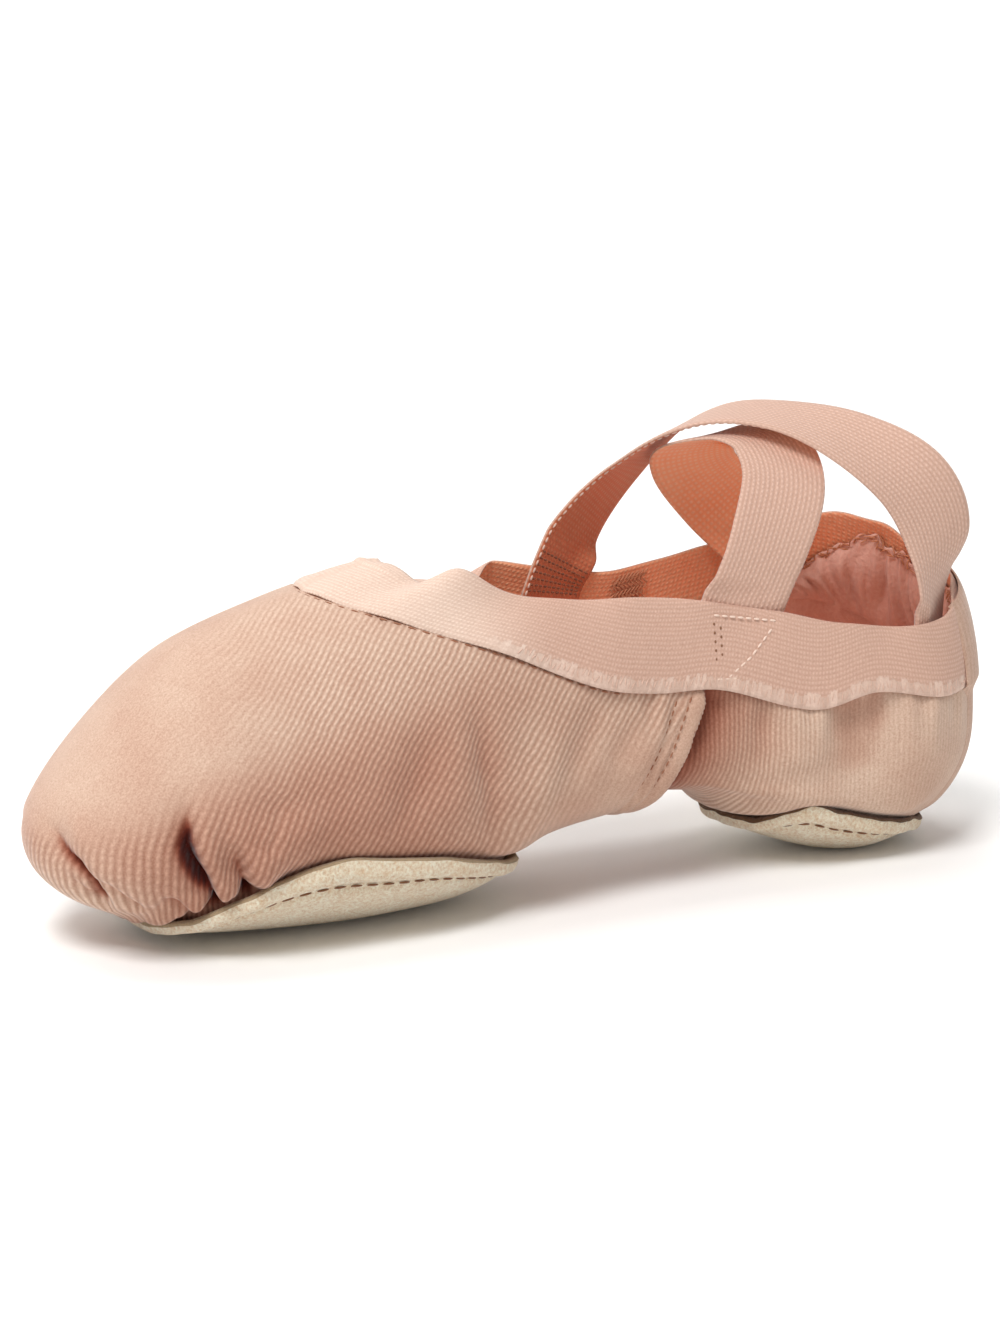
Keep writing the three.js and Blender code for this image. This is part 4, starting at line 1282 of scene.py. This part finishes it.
def add_softbox(name, place, aim, size, power):
    """A square area light at a place, turned to an aim."""
    data = bpy.data.lights.new(name, "AREA")
    data.size, data.energy = size, power
    light = bpy.data.objects.new(name, data)
    light.location = place
    light.rotation_euler = (Vector(aim) - Vector(place)).to_track_quat("-Z", "Y").to_euler()
    bpy.context.collection.objects.link(light)


def make_backdrop(colour):
    """A pale floor that curves up behind the slipper: a profile of floor, quarter round and wall, carried
    across."""
    bend = np.linspace(0, np.pi / 2, 24)
    depth = np.concatenate([[-4.0], 0.8 + 0.8 * np.sin(bend), [1.6]])
    height = np.concatenate([[0.0], 0.8 - 0.8 * np.cos(bend), [3.0]])
    width = np.linspace(-4, 4, 3)
    points = np.stack(np.broadcast_arrays(width[None, :], depth[:, None], height[:, None]), -1)
    faces = grid_faces(len(depth), len(width))[:, ::-1]
    # Background paper: even and pale, with no gloss, so that it takes only soft shadows
    material = bpy.data.materials.new("matt_white_paper")
    material.use_nodes = True
    shader = material.node_tree.nodes["Principled BSDF"]
    shader.inputs["Base Color"].default_value = colour
    shader.inputs["Roughness"].default_value = 0.9
    points = points.reshape(-1, 3) / MM
    floor = put_mesh("backdrop", points, faces, np.zeros(len(faces)), [material], closed=False)


# Settings, operators and the panel


def colour_setting(name, description, code):
    """A colour property whose default is a hex sRGB colour."""
    return bpy.props.FloatVectorProperty(
        name=name, description=description, default=srgb(code), subtype="COLOR", size=4, min=0, max=1
    )


def number_setting(name, description, default, **kind):
    """A number property, with its unit, subtype or limits where it has them."""
    return bpy.props.FloatProperty(name=name, description=description, default=default, **kind)


class SlipperSettings(bpy.types.PropertyGroup):
    """Sizes of the cloth that a user would change."""

    rib_pitch: number_setting(
        "Rib pitch", "Distance between the canvas's ribs", 1.28 * MM, min=0.4 * MM, unit="LENGTH"
    )
    canvas_dark: colour_setting("Canvas valleys", "Canvas between its ribs", "#8A5840")
    canvas_light: colour_setting("Canvas ribs", "Canvas on its ribs", "#E5C6B1")
    elastic_dark: colour_setting("Elastic gaps", "Elastic between its cords", "#A37763")
    elastic_light: colour_setting("Elastic cords", "Elastic on its cords", "#E2BFAD")
    inside_dark: colour_setting("Inside gaps", "Wrong side of the elastic between its cords", "#FF986C")
    inside_light: colour_setting("Inside cords", "Wrong side of the elastic on its cords", "#FFC8A2")
    lining_dark: colour_setting("Lining hollows", "Lining in its folds", "#D69380")
    lining_light: colour_setting("Lining nap", "Lining on its nap", "#FFDFD0")
    suede_dark: colour_setting("Suede shade", "Suede where its nap lies away", "#DCB78C")
    suede_light: colour_setting("Suede light", "Suede where its nap lies towards the eye", "#FFF6DE")


class SlipperStage(bpy.types.PropertyGroup):
    """The camera, floor and lights."""

    azimuth: number_setting(
        "Azimuth", "Angle of the camera round the slipper", math.radians(-26), subtype="ANGLE"
    )
    elevation: number_setting(
        "Elevation", "Angle of the camera above the floor", math.radians(14.5), subtype="ANGLE"
    )
    distance: number_setting("Distance", "From the camera to the slipper", 1.0, unit="LENGTH")
    aim_height: number_setting("Aim height", "Height that the camera looks at", 0.042, unit="LENGTH")
    focal_length: number_setting("Focal length", "Focal length in mm", 118.3)
    shift_x: number_setting("Shift X", "Sideways framing of the picture", -0.0135)
    shift_y: number_setting("Shift Y", "Upright framing of the picture", 0.0296)
    floor_colour: colour_setting("Floor", "Colour of the paper floor", "#F7F7F6")
    light_power: number_setting("Light", "Power of the softbox in watts", 51.0)


class SLIPPER_OT_canvas(bpy.types.Operator):
    """Makes the canvas upper with its pleats and folds"""

    bl_idname = "slipper.canvas"
    bl_label = "Canvas upper"

    def execute(self, context):
        settings = context.scene.slipper
        make_canvas(settings)
        make_back_strip(settings)
        return {"FINISHED"}


class SLIPPER_OT_elastic(bpy.types.Operator):
    """Makes the collar band, the two straps and the lining behind the heel's band"""

    bl_idname = "slipper.elastic"
    bl_label = "Collar and straps"

    def execute(self, context):
        settings = context.scene.slipper
        make_band(settings)
        make_strap("elastic_strap_under", STRAP_UNDER, "strap_under", 0.0, settings)
        # The over strap's wrong side takes painted shade past its top
        make_strap("elastic_strap_over", STRAP_OVER, "strap_over", 0.3, settings)
        make_heel_lining(settings)
        return {"FINISHED"}


class SLIPPER_OT_soles(bpy.types.Operator):
    """Makes the suede pads and the insoles"""

    bl_idname = "slipper.soles"
    bl_label = "Pads and insoles"

    def execute(self, context):
        settings = context.scene.slipper
        make_pad("forefoot_suede_pad", FOREFOOT_PAD, "forefoot_sole", "pale_suede_edge", settings)
        make_pad("heel_suede_pad", HEEL_PAD, "heel_sole", "suede_edge", settings)
        make_insole("forefoot_lining_sole", FOREFOOT_PAD, "forefoot_insole", settings)
        make_insole("heel_lining_sole", HEEL_PAD, "heel_insole", settings)
        return {"FINISHED"}


class SLIPPER_OT_stitches(bpy.types.Operator):
    """Sews the rows of stitches"""

    bl_idname = "slipper.stitches"
    bl_label = "Stitches"

    def execute(self, context):
        settings = context.scene.slipper
        make_collar_stitches(settings)
        make_inside_stitches(settings)
        make_sole_stitches(settings)
        return {"FINISHED"}


class SLIPPER_OT_stage(bpy.types.Operator):
    """Sets up the floor, the lights and the camera"""

    bl_idname = "slipper.stage"
    bl_label = "Studio"

    def execute(self, context):
        stage = context.scene.slipper_stage
        make_backdrop(stage.floor_colour)
        add_softbox("key_softbox", (-1.1, -0.9, 2.2), (0, 0, 0.04), 1.0, stage.light_power)
        add_softbox("backdrop_softbox", (0, 0.7, 2.4), (0, 1.6, 0.7), 1.2, 0.4 * stage.light_power)
        world = bpy.data.worlds.new("studio")
        world.use_nodes = True
        background = world.node_tree.nodes["Background"]
        background.inputs["Color"].default_value = (1.0, 0.99, 0.98, 1.0)
        background.inputs["Strength"].default_value = 0.45
        context.scene.world = world
        context.scene.view_settings.view_transform = "Standard"
        make_camera(stage)
        return {"FINISHED"}


class SLIPPER_PT_panel(bpy.types.Panel):
    """Lists the slipper's settings and the steps that make it"""

    bl_label = "Slipper"
    bl_idname = "SLIPPER_PT_panel"
    bl_space_type = "VIEW_3D"
    bl_region_type = "UI"
    bl_category = "Slipper"

    def draw(self, context):
        for group in (context.scene.slipper, context.scene.slipper_stage):
            for key in group.__annotations__:
                self.layout.prop(group, key)
        for step in STEPS:
            self.layout.operator(step.bl_idname)


STEPS = (SLIPPER_OT_canvas, SLIPPER_OT_elastic, SLIPPER_OT_soles, SLIPPER_OT_stitches, SLIPPER_OT_stage)
CLASSES = (SlipperSettings, SlipperStage, *STEPS, SLIPPER_PT_panel)


def register():
    """Registers the classes and hangs the settings on the scene."""
    for each in CLASSES:
        bpy.utils.register_class(each)
    bpy.types.Scene.slipper = bpy.props.PointerProperty(type=SlipperSettings)
    bpy.types.Scene.slipper_stage = bpy.props.PointerProperty(type=SlipperStage)


def unregister():
    """Takes the settings off the scene and unregisters the classes."""
    del bpy.types.Scene.slipper_stage
    del bpy.types.Scene.slipper
    for each in reversed(CLASSES):
        bpy.utils.unregister_class(each)


def main():
    """Makes every piece and the studio."""
    register()
    bpy.ops.slipper.canvas()
    bpy.ops.slipper.elastic()
    bpy.ops.slipper.soles()
    bpy.ops.slipper.stitches()
    bpy.ops.slipper.stage()


if __name__ == "__main__":
    main()
